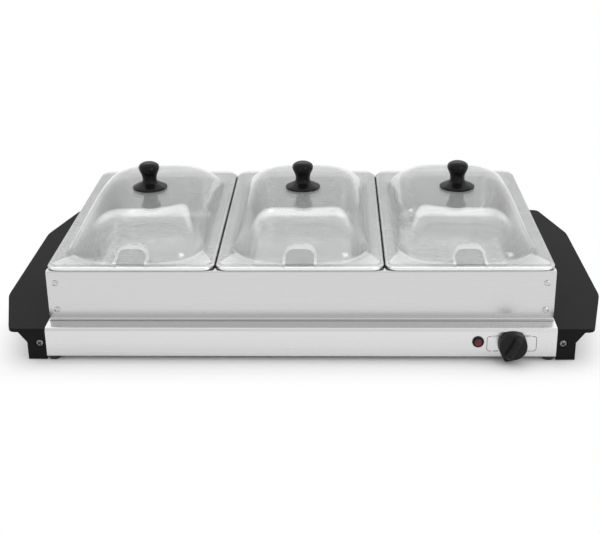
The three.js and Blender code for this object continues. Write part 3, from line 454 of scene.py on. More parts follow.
def polished_steel(middle, edge):
    """Pressed steel with faint draw marks, and a painted highlight: a much lighter colour past a distance in Y, in
    mm, from the middle.
    """
    finish = Finish("polished_steel", "polished_steel")
    marks = finish.noise((60, 900, 60), detail=3)
    cloud = finish.noise((9, 9, 9))
    depth = finish.coordinate("Y") - middle * MM
    # painted highlight: the rim edges in front and behind get a much lighter colour
    painted_rim_highlight = abs(depth).with_math("GREATER_THAN", edge * MM)
    return finish.plain(
        Base_Color=finish.blend(painted_rim_highlight, finish.blend(cloud, grey(0.54), grey(0.6)), grey(0.9)),
        Metallic=1.0,
        Roughness=cloud * 0.08 + marks * 0.05 + 0.2,
        Normal=finish.bump(marks, DRAW_DEPTH),
    )


def plated_steel(name, level, rough):
    """A mottled grey whose roughness follows the same mottling, with fine pits."""
    finish = Finish(name, "plated_steel")
    mottle = finish.noise((180, 180, 180), detail=3)
    pits = finish.noise((1500, 1500, 1500))
    return finish.plain(
        Base_Color=finish.blend(mottle, grey(level * 0.82), grey(level * 1.12)),
        Metallic=1.0,
        Roughness=mottle * 0.15 + rough,
        Normal=finish.bump(pits, PIT_DEPTH),
    )


base_steel = brushed_steel("brushed_base", 0, 0.72)
steel_long = brushed_steel("brushed_steel_along", 0, 0.65)
steel_deep = brushed_steel("brushed_steel_across", 1, 0.65)
plated = plated_steel("zinc_plate", 0.5, 0.3)
screw_metal = plated_steel("screw_metal", 0.62, 0.16)
handle_screw = plated_steel("handle_screw", 0.24, 0.3)
# near-black: painted shade for the faces inside the screws' cross
painted_cross_shade = plated_steel("screw_cross_painted_shade", 0.03, 0.6)
rod_metal = plated_steel("heating_rod", 0.2, 0.42)
print("metal finishes:", len(bpy.data.materials))

# %% [markdown]
# ## Plastics and rubber
#
# The handles and the control knob have a fine moulded grain that keeps their
# black soft, and the lid knobs are glossy. A clear lid is a thin wall that
# light crosses straight, so it is mostly a Transparent shader with a little
# white haze, mixed with a mirror whose share grows as the view grazes the wall.
# Layer Weight gives one minus the cosine of that angle, and its fifth power is
# Schlick's rule.

# %% Plastic finishes
def moulded(name, slot, level, rough, grain, depth, gloss_level=0.5):
    """Moulded plastic: a fine grain in the bump, and a soft variation in shade and roughness."""
    finish = Finish(name, slot)
    fine = finish.noise((grain, grain, grain), detail=3)
    cloud = finish.noise((14, 14, 14))
    return finish.plain(
        Base_Color=finish.blend(cloud, grey(level * 0.85, 1.04), grey(level * 1.2, 1.04)),
        Roughness=cloud * 0.1 + fine * 0.08 + rough,
        Specular_IOR_Level=gloss_level,
        Normal=finish.bump(fine, depth),
    )


black = moulded("black_plastic", "black_plastic", 0.008, 0.46, 1400, 0.00003, 0.08)
dial_black = moulded("dial_black", "black_plastic", 0.007, 0.32, 1800, 0.00001, 0.2)
gloss = moulded("gloss_black", "gloss_black", 0.006, 0.1, 500, 0.000002, 0.16)
rubber = moulded("rubber", "rubber", 0.016, 0.6, 1600, 0.00003)
pale = moulded("pale_insulation", "pale_insulation", 0.6, 0.42, 1200, 0.00001)
ink = moulded("dial_print", "black_plastic", 0.03, 0.5, 900, 0.000001)

CLEAR_FACING = 0.08
CLEAR_GRAZING = 0.95
CLEAR_HAZE = 0.08
EDGE_HAZE = 0.35


def clear_plastic(name, haze_share):
    """Mirror share: facing share + grazing share * (1 - cosine)^5; the rest is clear with some white haze."""
    finish = Finish(name, "clear_plastic")
    grazing = finish.node("LayerWeight", sockets={"Blend": 0.5}, output="Facing")
    ripple = finish.noise((22, 22, 22))
    polish = {"Base Color": grey(0.95), "Metallic": 1.0, "Roughness": ripple * 0.02 + 0.03}
    mirror = finish.node("BsdfPrincipled", sockets=polish)
    through = finish.node("BsdfTransparent", sockets={"Color": (0.975, 0.98, 0.982, 1)})
    haze = finish.node("BsdfDiffuse", sockets={"Color": grey(0.95)})
    body = finish.node("MixShader", sockets={0: haze_share, 1: through, 2: haze})
    share = grazing**5 * CLEAR_GRAZING + CLEAR_FACING
    return finish.surface(finish.node("MixShader", sockets={0: share, 1: body, 2: mirror}))


def red_lens():
    """Dark red plastic, a little cloudy, under a thin glossy coat."""
    finish = Finish("red_lens", "red_lens")
    cloud = finish.noise((400, 400, 400))
    return finish.plain(
        Base_Color=finish.blend(cloud, (0.08, 0.006, 0.012, 1), (0.15, 0.011, 0.02, 1)),
        Roughness=cloud * 0.06 + 0.1,
        Specular_IOR_Level=0.3,
        Coat_Weight=0.15,
        Coat_Roughness=0.05,
    )


clear = clear_plastic("clear_plastic", CLEAR_HAZE)
clear_edge = clear_plastic("clear_edge", EDGE_HAZE)
lens_red = red_lens()
print("finishes:", len(bpy.data.materials))

# %% [markdown]
# ## Pieces and how they ride
#
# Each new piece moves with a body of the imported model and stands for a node,
# which is then hidden. Edges sharper than 30 degrees stay sharp. A folded or
# bevelled piece gets weighted normals, so that its flat faces shade as flat.

# %% Make a piece
SHARP = math.radians(30)
body_of_node = {node: body for body, members in frame["record"]["behaviour"]["bodies"].items() for node in members}
print("bodies:", len(set(body_of_node.values())))


def dressed(mesh, *finishes):
    """The mesh with these finishes and no others; its faces tell which one they use by number."""
    mesh.materials.clear()
    for finish in finishes:
        mesh.materials.append(finish.owner)
    return mesh


def piece(name, mesh, node, finish, flat=False, stands_for=True):
    """An object at the origin that rides with a node's body and, unless told not to, stands in the node's place."""
    obj = placed(name, mesh)
    mesh.shade_smooth()
    mesh.set_sharp_from_angle(angle=SHARP)
    if mesh.materials.get(finish.owner.name) is None:
        dressed(mesh, finish)
    if flat:
        weighted = obj.modifiers.new("flat faces", "WEIGHTED_NORMAL")
        weighted.keep_sharp = True
    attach(obj, body_of_node[node])
    if stands_for:
        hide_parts(node)
    return obj


def applied(mesh, *steps):
    """A mesh with modifiers applied: each step is a type and its settings."""
    obj = placed("work", mesh)
    for kind, settings in steps:
        modifier = obj.modifiers.new(kind, kind)
        for key, value in settings.items():
            setattr(modifier, key, value)
    graph = bpy.context.evaluated_depsgraph_get()
    made = bpy.data.meshes.new_from_object(obj.evaluated_get(graph))
    bpy.data.objects.remove(obj)
    return made


def carved(mesh, operation, other, finish_number=0):
    """Two closed meshes united, intersected or subtracted; the other one's faces may take a finish of their own."""
    other.polygons.foreach_set("material_index", np.full(len(other.polygons), finish_number))
    tool = placed("tool", other)
    made = applied(mesh, ("BOOLEAN", {"operation": operation, "solver": "EXACT", "object": tool}))
    bpy.data.objects.remove(tool)
    return made


def cut(mesh, *forms, finish_number=0):
    """A closed mesh less some forms."""
    return carved(mesh, "DIFFERENCE", mesh_of("cut", *forms), finish_number)


BEVEL_LIMIT = math.radians(40)
FLAT_LIMIT = math.radians(1)


def softened(node, width, segments=3):
    """A copy of a node's mesh, merged, with its edges rounded."""
    weld = {"merge_threshold": 0.01 * MM}
    dissolve = {"decimate_type": "DISSOLVE", "angle_limit": FLAT_LIMIT}
    bevel = {"width": width * MM, "segments": segments, "limit_method": "ANGLE", "angle_limit": BEVEL_LIMIT}
    return applied(nodes[node].data.copy(), ("WELD", weld), ("DECIMATE", dissolve), ("BEVEL", bevel))


def copied(mesh, offset):
    """The same mesh again, set off in millimetres."""
    again = mesh.copy()
    again.transform(Matrix.Translation(Vector(offset) * MM))
    return again


# %% [markdown]
# ## Pans
#
# A food pan is pressed from one sheet: a flat rim with a rolled edge, a round
# mouth, leaning walls and a wide fillet down to the floor. It is one loft of
# rounded rectangles, up the outside, over the roll and down the inside. Where
# the rim's outline hands over to the mouth's, both are rings of one walk.

# %% Pans
pan_low, pan_high = corners_of("pan_middle")
PAN_Y = (pan_low[1] + pan_high[1]) / 2
PAN_HALF = (pan_high - pan_low)[:2] / 2
PAN_CORNER = 13
RIM_FLANGE = 14
RIM_HEIGHT = 3.6
RIM_ROLL = 3.4
RIM_LIP = 0.6
MOUTH_CORNER = 37
MOUTH_FILLET = 4
FLOOR_FILLET = 12
WALL_LEAN = 9
pan_xs = [middle_of(f"pan_{word}")[0] for word in WORDS]
rim_top = pan_high[2]
mouth_half = PAN_HALF - RIM_FLANGE
# the pans' steel, with a painted highlight on the front and back rim edges
pan_steel = polished_steel(PAN_Y, PAN_HALF[1] - RIM_ROLL)
wide_walk = walk_round(14, 24, 14)


def pan_wall(skin):
    """From the rim over the mouth's arc, down the wall and round the floor's arc; skin sets it outwards."""
    mouth = MOUTH_FILLET - skin
    floor = FLOOR_FILLET + skin
    over = np.radians(np.linspace(0, 90, 7))
    under = np.radians(np.linspace(0, 90, 9))
    inset = [mouth * np.sin(over) - MOUTH_FILLET, WALL_LEAN + FLOOR_FILLET - floor * np.cos(under)]
    height = [
        rim_top - MOUTH_FILLET + mouth * np.cos(over),
        pan_low[2] + SHEET + FLOOR_FILLET - floor * np.sin(under),
    ]
    inset, height = np.concatenate(inset), np.concatenate(height)
    return rings(wide_walk, mouth_half[0] - inset, mouth_half[1] - inset, MOUTH_CORNER - inset, height)


roll = RIM_HEIGHT / 2
rolled_edge = arc((roll, rim_top - roll), roll, 270, 90, 12)
rim_bottom = rim_top - RIM_HEIGHT
rim_lip = [(RIM_ROLL, rim_top - SHEET), (RIM_ROLL, rim_bottom + RIM_LIP), (RIM_ROLL - RIM_LIP, rim_bottom)]
rim = inset_rings(wide_walk, PAN_HALF, PAN_CORNER, [*rim_lip, *rolled_edge])
pan_grid = np.concatenate([pan_wall(SHEET)[::-1], rim, pan_wall(0)])
pan_mesh = mesh_of("pan", shifted(loft(pan_grid), (0, PAN_Y, 0)))
for word, x in zip(WORDS, pan_xs):
    piece(f"serving_pan_{word}", copied(pan_mesh, (x, 0, 0)), f"pan_{word}", pan_steel)
print("pan width and depth in mm:", np.round(2 * PAN_HALF, 1))

# %% [markdown]
# ## Clear lids
#
# A lid is moulded in one wall: a flat edge that lies on the pan's rim, a low
# ridge below that keeps it in place, and an arched dome. The dome's height is
# the product of an arch along X and an arch along Y, each (1 - s^p)^k with s
# the share of the way to the edge. The arch along X sinks less in the middle of
# the lid than at its ends, which leaves a flat panel round the knob, and near
# the round corners a third factor draws the dome down to its outline. The spoon
# notch is cut through it, with a thicker border, and cut faces look whiter.

# %% Lids
LID_WALL = 2.2
LID_INSET = 2.8
LID_CORNER = 11
DOME_CORNER = 37
DOME_STEPS = (0.2, 6.5)
CROWN = 30
ARCH_ACROSS = (2.8, 0.75)
ARCH_ALONG = (4, 0.54)
EDGE_POWER = 14
PANEL_POWER = 3
BEAD_DROP = 2.2
BEAD_WIDTH = 1.6
FOOT_FILLET = 1.4
EDGE_CUT = 0.3
NOTCH_HALF = 14.5
NOTCH_HEIGHT = 9.2
NOTCH_CORNER = 8
NOTCH_BORDER = 3
NOTCH_RISE = 1
NOTCH_REACH = 12
dome_half = mouth_half - np.array(DOME_STEPS)
lid_edge = PAN_HALF - LID_INSET
lid_seat = rim_top + SEAT_GAP
lid_flat = lid_seat + LID_WALL
crown_top = lid_flat + CROWN
lid_walk = walk_round(18, 30, 16)
# even shares of the way out, then closer together towards the outline
dome_shares = np.concatenate([np.linspace(0.03, 0.8, 16), 1 - 0.2 * np.linspace(0.92, 0, 12) ** 1.6 - 0.009])


def edge_fall(share):
    """One over most of the dome, then down to zero at its outline: the root of 1 - share^power."""
    return np.sqrt(1 - share**EDGE_POWER)


def arch(share, power, root):
    """(1 - share^power)^root, divided by the fall that the outline's own share already gives."""
    return (1 - share**power) ** root / edge_fall(share)


def dome_rings(shares, inset, foot):
    """Rings at shares of the outline: foot + crown * (1 - sink across) * arch along * fall at the edge."""
    half = dome_half - inset
    outline = rings(lid_walk, half[0], half[1], DOME_CORNER - inset, foot)[0]
    share = shares[:, None]
    across, along = (share * np.abs(outline[:, axis]) / half[axis] for axis in (0, 1))
    sink = (1 - arch(across, *ARCH_ACROSS)) * across ** (PANEL_POWER * (1 - along**2) ** 2)
    height = CROWN * (1 - sink) * arch(along, *ARCH_ALONG) * edge_fall(share)
    return np.stack([share * outline[:, 0], share * outline[:, 1], foot + height], -1)


def outset_rings(section, inset=0):
    """Rings round the dome's outline from pairs of how far out and how high."""
    return inset_rings(lid_walk, dome_half - inset, DOME_CORNER - inset, np.array(section) * (-1, 1))


def lid_form(rise):
    """The whole lid as one loft, from under the crown, round the edge, back to the crown; rise thickens it on top."""
    top = lid_flat + rise
    foot = arc((FOOT_FILLET, top + FOOT_FILLET), FOOT_FILLET, 180, 270, 5)
    edge = LID_WALL / 3
    bead_low = lid_seat - BEAD_DROP
    bead = [(0, bead_low), (BEAD_WIDTH, bead_low), (BEAD_WIDTH, lid_seat)]
    rim_arc = arc((edge, top - edge), edge, 180, 90, 4)
    lid_rings = [
        dome_rings(dome_shares, LID_WALL, lid_seat),
        outset_rings(bead, LID_WALL),
        inset_rings(lid_walk, lid_edge, LID_CORNER, [(EDGE_CUT, lid_seat), (0, lid_seat + EDGE_CUT), *rim_arc]),
        outset_rings(foot[::-1]),
        dome_rings(dome_shares[::-1], -rise, top),
    ]
    return loft(np.concatenate(lid_rings))


def notch_form(border):
    """An arch carried through the lid's front: straight sides and a top with round corners."""
    top = lid_flat + NOTCH_HEIGHT + border
    outline = arched(NOTCH_HALF + border, lid_seat - 3 * BEAD_DROP, top, NOTCH_CORNER + border, 10)
    return prism(outline, -PAN_HALF[1] - LID_CORNER, NOTCH_REACH - dome_half[1], axes=ALONG_Y)


border = carved(mesh_of("raised", lid_form(NOTCH_RISE)), "INTERSECT", mesh_of("arch", notch_form(NOTCH_BORDER)))
lid_mesh = carved(dressed(mesh_of("lid", lid_form(0)), clear, clear_edge), "UNION", border, 1)
lid_mesh = cut(lid_mesh, notch_form(0), finish_number=1)
screw_hole = lathe([(0.05, lid_flat), (2.0, lid_flat), (2.0, 2 * crown_top), (0.05, 2 * crown_top)], 16)
lid_mesh = cut(lid_mesh, screw_hole)
for word, x in zip(WORDS, pan_xs):
    piece(f"clear_lid_{word}", copied(lid_mesh, (x, PAN_Y, 0)), f"lid_{word}", clear)
print("faces of a lid:", len(lid_mesh.polygons))

# %% [markdown]
# ## Lid knobs
#
# Each lid is lifted by a turned black knob: a flared disk, a slim neck and a
# head like a drawer pull. Its outline is a smooth line through a few radii and
# heights, spun round the lid's middle.

# %% Lid knobs
KNOB_SECTION = [
    (18.6, 0), (19.35, 0.4), (19.5, 1.2), (19.1, 2.0), (17.0, 3.2), (14.0, 4.7), (11.2, 6.1), (9.3, 7.3), (8.3, 8.8),
    (8.0, 10.6), (8.1, 12.8), (8.6, 15.2), (9.6, 17.8), (10.8, 20.4), (11.5, 22.6), (11.55, 24.6), (10.9, 26.4),
    (9.2, 28.0), (6.6, 29.3), (3.4, 29.9), (0.05, 30),
]
KNOB_BORE = [(0.05, 13.5), (2.0, 13.5), (2.0, 0)]
knob_seat = corners_of("lid_knob_middle")[0][2]
knob_profile = np.concatenate([KNOB_BORE, smooth_line(KNOB_SECTION[:-1], 4), KNOB_SECTION[-1:]])
knob_mesh = mesh_of("knob", shifted(lathe(knob_profile, 56), (0, PAN_Y, knob_seat)))
for word, x in zip(WORDS, pan_xs):
    piece(f"gloss_knob_{word}", copied(knob_mesh, (x, 0, 0)), f"lid_knob_{word}", gloss)
print("knob height in mm:", KNOB_SECTION[-1][1])

# %% [markdown]
# ## The base
#
# The warming base is a thin steel box: its top is the warming plate, and it
# turns in under the front, back and ends. It is carved: a solid with round
# upper edges and a raised field, which keeps the frame in place, has a smaller
# one taken out of it, then an opening cut underneath. That leaves one sheet's
# thickness everywhere. Tabs at the ends take the handles' screws.

# %% Warming base
base_low, base_high = corners_of("base_shell")
BASE_HALF = corners_of("right_handle")[0][0] - SEAT_GAP
BASE_DEEP = (base_high[1] - base_low[1]) / 2
PLATE_RISE = 1.5
PLATE_INSET = 4.5
PLATE_CORNER = 12
PLATE_EDGES = (0.9, 0.3)  # arcs on its upper edge, outside and inside
BASE_FLANGE = 16
BASE_FOLD = 4
TAB_SET_BACK = 3.9
TAB_HEIGHT = 14
TAB_LENGTH = 14
FRAME_MARGIN = 1
LEDGE = 21.5
base_top = base_high[2] - PLATE_RISE
frame_half = BASE_HALF - FRAME_MARGIN
frame_deep = BASE_DEEP - LEDGE
half_sheet = SHEET / 2
screw_z = middle_of("handle_screw_front_right")[2]


def base_solid(inset, half):
    """The base's outline seen from its end, set in by inset, carried along X to half each way."""
    outline = arched(BASE_DEEP - inset, base_low[2] + inset, base_top - inset, BASE_FOLD - inset, FOLD_STEPS)
    return prism(outline, -half, half)


def raised_field(inset, low, edge):
    """The raised middle of the warming plate: a rounded rectangle with an arc on its upper edge."""
    top = base_top + PLATE_RISE - inset
    edge_arc = arc((inset + edge, top - edge), edge, 180, 90, 5)
    section = np.concatenate([[(inset, low)], edge_arc])
    reach = PLATE_INSET + SHEET
    return loft(inset_rings(walk_round(8, 0, 0), (frame_half - reach, frame_deep - reach), PLATE_CORNER, section))


hatch = (BASE_HALF - BASE_FLANGE, BASE_DEEP - BASE_FLANGE)
tab_y = BASE_DEEP - TAB_SET_BACK
tab_z = screw_z - TAB_HEIGHT / 2, screw_z + TAB_HEIGHT / 2
field = mesh_of("field", raised_field(0, base_top - half_sheet, PLATE_EDGES[0]))
base_mesh = carved(mesh_of("skin", base_solid(0, BASE_HALF)), "UNION", field)
base_mesh = cut(base_mesh, base_solid(SHEET, BASE_HALF - SHEET))
base_mesh = cut(base_mesh, raised_field(SHEET, base_top - 2 * SHEET, PLATE_EDGES[1]))
low_hatch = box_form((-hatch[0], -hatch[1], base_low[2] - 1), (hatch[0], hatch[1], base_low[2] + 2 * SHEET))
base_mesh = cut(base_mesh, low_hatch)
tab = (BASE_HALF - half_sheet, tab_y, tab_z[0]), (BASE_HALF + TAB_LENGTH, tab_y - SHEET, tab_z[1])
for x in (-1, 1):
    for y in (-1, 1):
        base_mesh = carved(base_mesh, "UNION", mesh_of("tab", box_form(*tab, (x, y, 1))))
print("base length and depth in mm:", round(2 * BASE_HALF, 1), round(2 * BASE_DEEP, 1))

# %% [markdown]
# ## Holes
#
# Round holes let the screws, feet, lamp, control and cord gland through. Each
# is a cylinder a little wider than what passes it, and one Boolean takes them
# all out.

# %% Holes of the base
HOLE_GAP = 0.35
HOLE_STEPS = 32
HOLES = {  # radius of what passes
    "thermostat_shaft": 4.8,
    "lamp_lens": 4.7,
    "cord_gland": 6.2,
    "handle_screw": 1.7,
    "cover_screw": 1.7,
    "foot": 2.5,
}


def drilled(node, radius):
    """A cylinder where a node passes the sheet, a gap wider than it: up through the flange, or else along Y."""
    x, y, z = middle_of(node) - (0, PAN_Y, 0)
    radius += HOLE_GAP
    if node.startswith(("cover", "foot")):
        circle = arc((x, y), radius, 0, 360, HOLE_STEPS)[:-1]
        return prism(circle, base_low[2] - 1, base_low[2] + 2 * SHEET, UPRIGHT)
    wall = tab_y - half_sheet if "screw" in node else BASE_DEEP - half_sheet
    at = math.copysign(wall, y)
    circle = arc((x, z), radius, 0, 360, HOLE_STEPS)[:-1]
    return prism(circle, at - 2 * SHEET, at + 2 * SHEET, ALONG_Y)


holes = [drilled(node, radius) for start, radius in HOLES.items() for node in nodes if node.startswith(start)]
base_mesh = cut(base_mesh, *holes)
print("holes in the base:", len(holes))
base_mesh.transform(Matrix.Translation((0, PAN_Y * MM, 0)))
piece("warming_base_shell", base_mesh, "base_shell", base_steel, flat=True)

# %% [markdown]
# ## The lift-off frame
#
# Four folded panels make the frame. The long ones have a foot turned out below
# and a flange turned in on top, the short ones a flange and riveted end tabs.
# A folded section carried along its length is a panel, and it is made once for
# each pair and turned round for the other side. Rivets are turned on a lathe.

# %% Frame panels and rivets
frame_low, frame_high = corners_of("frame_front")
FRAME_FLANGE = 8
FRAME_FOOT = 3
FRAME_FOLD = 1.5
FRAME_TAB = 16
line_low, line_high = frame_low[2] + half_sheet, frame_high[2] - half_sheet
wall_y, wall_x = half_sheet - frame_deep, frame_half - half_sheet
front_line = [(-frame_deep - FRAME_FOOT, line_low), (wall_y, line_low), (wall_y, line_high)]
front_line += [(FRAME_FLANGE - frame_deep, line_high)]
front_panel = prism(folded(front_line, [FRAME_FOLD, FRAME_FOLD]), -frame_half, frame_half)
side_line = [(wall_x, frame_low[2]), (wall_x, line_high), (frame_half - FRAME_FLANGE, line_high)]
side_deep = frame_deep - SHEET - SEAT_GAP
STRAIGHT, HALF_TURN = np.diag([1, 1, 1]), np.diag([-1, -1, 1])
TURNS = {"front": STRAIGHT, "right": STRAIGHT, "back": HALF_TURN, "left": HALF_TURN}
side_reach = frame_deep - FRAME_FLANGE - SEAT_GAP
side_web = prism(folded(side_line, [FRAME_FOLD]), -side_reach, side_reach, axes=ALONG_Y)
side_x, side_top = frame_half - SHEET, frame_high[2] - SHEET - FRAME_FOLD
tab = (side_x - FRAME_TAB, side_deep, frame_low[2] + FRAME_FOLD), (side_x, side_deep - SHEET, side_top)
web_end = (side_x, side_reach, frame_low[2]), (frame_half, side_deep, side_top)
end_boxes = [box_form(*corners, (1, side, 1)) for corners in (tab, web_end) for side in (-1, 1)]


def settled(forms, turn):
    """Forms turned round Z and set on the frame's middle."""
    return [shifted(turned(form, turn), (0, PAN_Y, 0)) for form in forms]


for side in SIDES:
    mesh = mesh_of(side, *settled([front_panel], TURNS[side]))
    piece(f"{side}_panel", mesh, f"frame_{side}", steel_long, flat=True)
for end in ENDS:
    mesh = mesh_of(end, *settled([side_web, *end_boxes], TURNS[end]))
    piece(f"{end}_panel", mesh, f"frame_{end}", steel_deep, flat=True)

RIVET_SECTION = [
    (0.05, -3.8), (2.4, -3.8), (2.5, -3.6), (2.5, -2.3), (2.4, -2.2), (1.6, -2.2), (1.6, 0.3), (3.05, 0.3),
    (3.1, 0.4), (2.95, 0.75), (2.4, 1.15), (1.7, 1.36), (1.2, 1.4), (1.0, 1.3), (0.9, 1.0), (0.05, 0.95),
]
TO_FRONT = np.array([(1, 0, 0), (0, 0, -1), (0, 1, 0)])
rivet_form = shifted(turned(lathe(RIVET_SECTION, 28), TO_FRONT), (0, -frame_deep, 0))
for side in SIDES:
    for number in range(1, 5):
        node = f"rivet_{side}_{number}"
        x, _, z = middle_of(node)
        form = shifted(turned(rivet_form, TURNS[side]), (x, PAN_Y, z))
        piece(f"blind_{node}", mesh_of(node, form), node, screw_metal)
print("frame height in mm:", round(frame_high[2] - frame_low[2], 1))

# %% [markdown]
# ## Handles and feet
#
# The handles and feet are moulded with soft edges. Their solids have the right
# form, so a copy of each is merged and its edges are rounded with a Bevel.

# %% Handles and feet
HANDLE_EDGE = 1.3
FOOT_EDGE = 0.5
for end in ENDS:
    piece(f"{end}_end_handle", softened(f"{end}_handle", HANDLE_EDGE), f"{end}_handle", black, flat=True)
for side in SIDES:
    for end in ENDS:
        node = f"foot_{side}_{end}"
        piece(f"rubber_{node}", softened(node, FOOT_EDGE, 2), node, rubber, flat=True)
print("handles and feet:", len(ENDS) + len(SIDES) * len(ENDS))

# %% [markdown]
# ## Handle screws
#
# A lathe turns the round head and the shank, and two boxes cut a cross into the
# head. The faces that the cut leaves get a near-black colour: painted shade inside the cross.

# %% Cross-head screws
SCREW_HEAD = 1.5
SCREW_SECTION = [
    (0.05, -9), (1.5, -9), (1.7, -8.6), (1.7, 0), (3.4, 0), (3.5, 0.15), (3.4, 0.6), (2.9, 1.08), (2.1, 1.36),
    (1.2, 1.48), (0.05, 1.5),
]
CROSS_ARM = (2.2, 0.62)
CROSS_FLOOR = 0.4
CROSS_TURN = Matrix.Rotation(math.radians(38), 4, "Z")
screw_mesh = dressed(mesh_of("screw", lathe(SCREW_SECTION, 32)), handle_screw, painted_cross_shade)
for reach_x, reach_y in (CROSS_ARM, CROSS_ARM[::-1]):
    arm = box_form((-reach_x, -reach_y, CROSS_FLOOR), (reach_x, reach_y, 2 * SCREW_HEAD))
    # the cut's faces take the near-black painted shade
    screw_mesh = cut(screw_mesh, arm, finish_number=1)
for side in SIDES:
    for end in ENDS:
        node = f"handle_screw_{side}_{end}"
        low, high = corners_of(node)
        x, _, z = middle_of(node)
        seat = low[1] + SCREW_HEAD if side == "front" else high[1] - SCREW_HEAD
        place = Vector((x, seat, z)) * MM
        mesh = screw_mesh.copy()
        mesh.transform(Matrix.Translation(place) @ Matrix((TURNS[side] @ TO_FRONT).tolist()).to_4x4() @ CROSS_TURN)
        piece(f"cross_head_{side}_{end}", mesh, node, handle_screw)
print("faces of a screw:", len(screw_mesh.polygons))

# %% [markdown]
# ## Control knob
#
# The thermostat's knob is a skirt shaped like a drop, whose tip is the pointer,
# with a grip bar along it. The drop is two arcs and their common tangents,
# lofted through a few sizes, and the grip is united with it.

# %% Control knob
dial_low, dial_high = corners_of("control_knob")
DIAL_X, _, DIAL_Z = middle_of("thermostat_shaft")
DIAL_AT = (DIAL_X, dial_high[1], DIAL_Z)
DIAL_DEPTH = dial_high[1] - dial_low[1]
DIAL_TURN = math.radians(27)
DIAL_RADIUS = 14.6
DIAL_TIP = 18
DIAL_TIP_RADIUS = 2.6
DIAL_SKIRT = 9.5
GRIP_HALF = 4.4
GRIP_REACH = 12.6
GRIP_CORNER = 3.4
DROP_STEPS = 40
DIAL_HOLLOWS = ((9.0, 4.6), (3.4, 12.4))


def drop(share):
    """A circle with a pointer below it: an arc of each, joined by their common tangents."""
    reach = DIAL_TIP - DIAL_TIP_RADIUS
    lean = math.degrees(math.asin((DIAL_RADIUS - DIAL_TIP_RADIUS) / reach))
    round_part = arc((0, 0), DIAL_RADIUS, -lean, 180 + lean, DROP_STEPS)
    tip = arc((0, -reach), DIAL_TIP_RADIUS, 180 + lean, 360 - lean, DROP_STEPS // 4)
    return np.concatenate([round_part, tip]) * share


skirt_section = [(1.0, 0), (0.995, 1.0), (0.965, 7.6), (0.945, 8.6), (0.9, 9.3), (0.8, 9.6), (0.3, 9.8), (0.02, 9.8)]
skirt_grid = np.stack([np.insert(drop(share), 2, depth, axis=1) for share, depth in [(0.02, 0), *skirt_section]])
grip_walk = walk_round(6, 10, 2)
grip_foot = DIAL_SKIRT + np.array([-1.5, 0, 3])
grip_head = DIAL_DEPTH - np.array([1.6, 0.5, 0.1, 0])
grip_depth = np.concatenate([grip_foot, grip_head])
grip_inset = np.array([-1.2, -0.3, 0.4, 1.5, 2.1, 2.7, 3.4])
grip_corner = GRIP_CORNER - grip_inset * 0.9
grip_grid = rings(grip_walk, GRIP_HALF - grip_inset, GRIP_REACH - grip_inset, grip_corner, grip_depth)
dial_mesh = carved(mesh_of("skirt", loft(skirt_grid)), "UNION", mesh_of("grip", loft(grip_grid)))
for radius, depth in DIAL_HOLLOWS:
    hollow = lathe([(0.05, -1), (radius, -1), (radius, depth), (0.05, depth)], 40)
    dial_mesh = cut(dial_mesh, hollow)
stand = Matrix.Rotation(math.pi / 2, 4, "X")
dial_mesh.transform(Matrix.Translation(Vector(DIAL_AT) * MM) @ Matrix.Rotation(DIAL_TURN, 4, "Y") @ stand)
piece("pointer_knob", dial_mesh, "control_knob", dial_black)
print("control axis in mm:", np.round(DIAL_AT, 1))

# %% [markdown]
# ## Lamp and cord gland
#
# A small black bezel holds a red lens, and a black bush at the back lets the
# cord in. All are turned profiles laid over to face out. The bush is open along
# its middle, so its last ring joins its first.

# %% Indicator lamp and cord gland
LAMP_X, _, LAMP_Z = middle_of("lamp_lens")
panel_front = PAN_Y - BASE_DEEP
FITTING_SIDES = 40
BEZEL_SECTION = [
    (0.05, -6), (3.55, -6), (3.55, 1.3), (3.8, 1.6), (4.6, 1.7), (5.4, 1.62), (5.85, 1.3), (6.0, 0.8), (5.95, 0.3),
    (4.7, 0.3), (4.7, -14.8), (4.5, -15), (0.05, -15),
]
LENS_SECTION = [
    (0.05, -5), (3.2, -5), (3.2, 2.0), (3.95, 2.0), (4.0, 2.2), (3.9, 2.7), (3.5, 3.2), (2.7, 3.65), (1.5, 3.93),
    (0.05, 4.0),
]
for name, section, node, finish in (
    ("lamp_bezel", BEZEL_SECTION, "lamp_holder", dial_black),
    ("lamp_dome", LENS_SECTION, "lamp_lens", lens_red),
):
    form = shifted(turned(lathe(section, FITTING_SIDES), TO_FRONT), (LAMP_X, panel_front, LAMP_Z))
    piece(name, mesh_of(name, form), node, finish)
GLAND_SECTION = [
    (3.8, -8), (5.3, -8), (8.0, -2), (8.0, -1.2), (6.2, -1.2), (6.2, 0.3), (9.0, 0.3), (9.0, 2.4), (8.8, 3.0),
    (8.3, 3.3), (5.0, 3.3), (4.2, 3.1), (3.8, 2.6),
]
gland_x, _, gland_z = middle_of("cord_gland")
gland_grid = spun(GLAND_SECTION, FITTING_SIDES)
gland_form = gland_grid.reshape(-1, 3), [band(len(GLAND_SECTION), FITTING_SIDES, joined_rows=True)]
gland_form = shifted(turned(gland_form, TURNS["back"] @ TO_FRONT), (gland_x, PAN_Y + BASE_DEEP, gland_z))
piece("snap_bush", mesh_of("gland", gland_form), "cord_gland", dial_black)
print("lamp in mm:", np.round((LAMP_X, LAMP_Z), 1))

# %% [markdown]
# ## Dial print
#
# A thin printed frame round the control knob holds its words. The frame is a
# band between two rounded rectangles, cut where a word stands. It lies on the
# panel as a very thin layer, as ink does.

# %% Dial print
PRINT_HALF = (25.1, 8.4)
PRINT_LINE = 0.55
PRINT_CORNER = 3
PRINT_RISE = 0.05
PRINT_WORDS = {"OFF": (-15.6, -8.4), "LOW": (-15.6, 8.4), "MED": (15.6, 8.4), "HIGH": (15.6, -8.4)}
WORD_SIZE = 3.1
WORD_ROOM = box_form((-4.6, -1, -1.6), (4.6, 1, 1.6))
print_at = (DIAL_AT[0] - 0.6, panel_front - PRINT_RISE, DIAL_AT[2])
print_walk = walk_round(8, 0, 0)


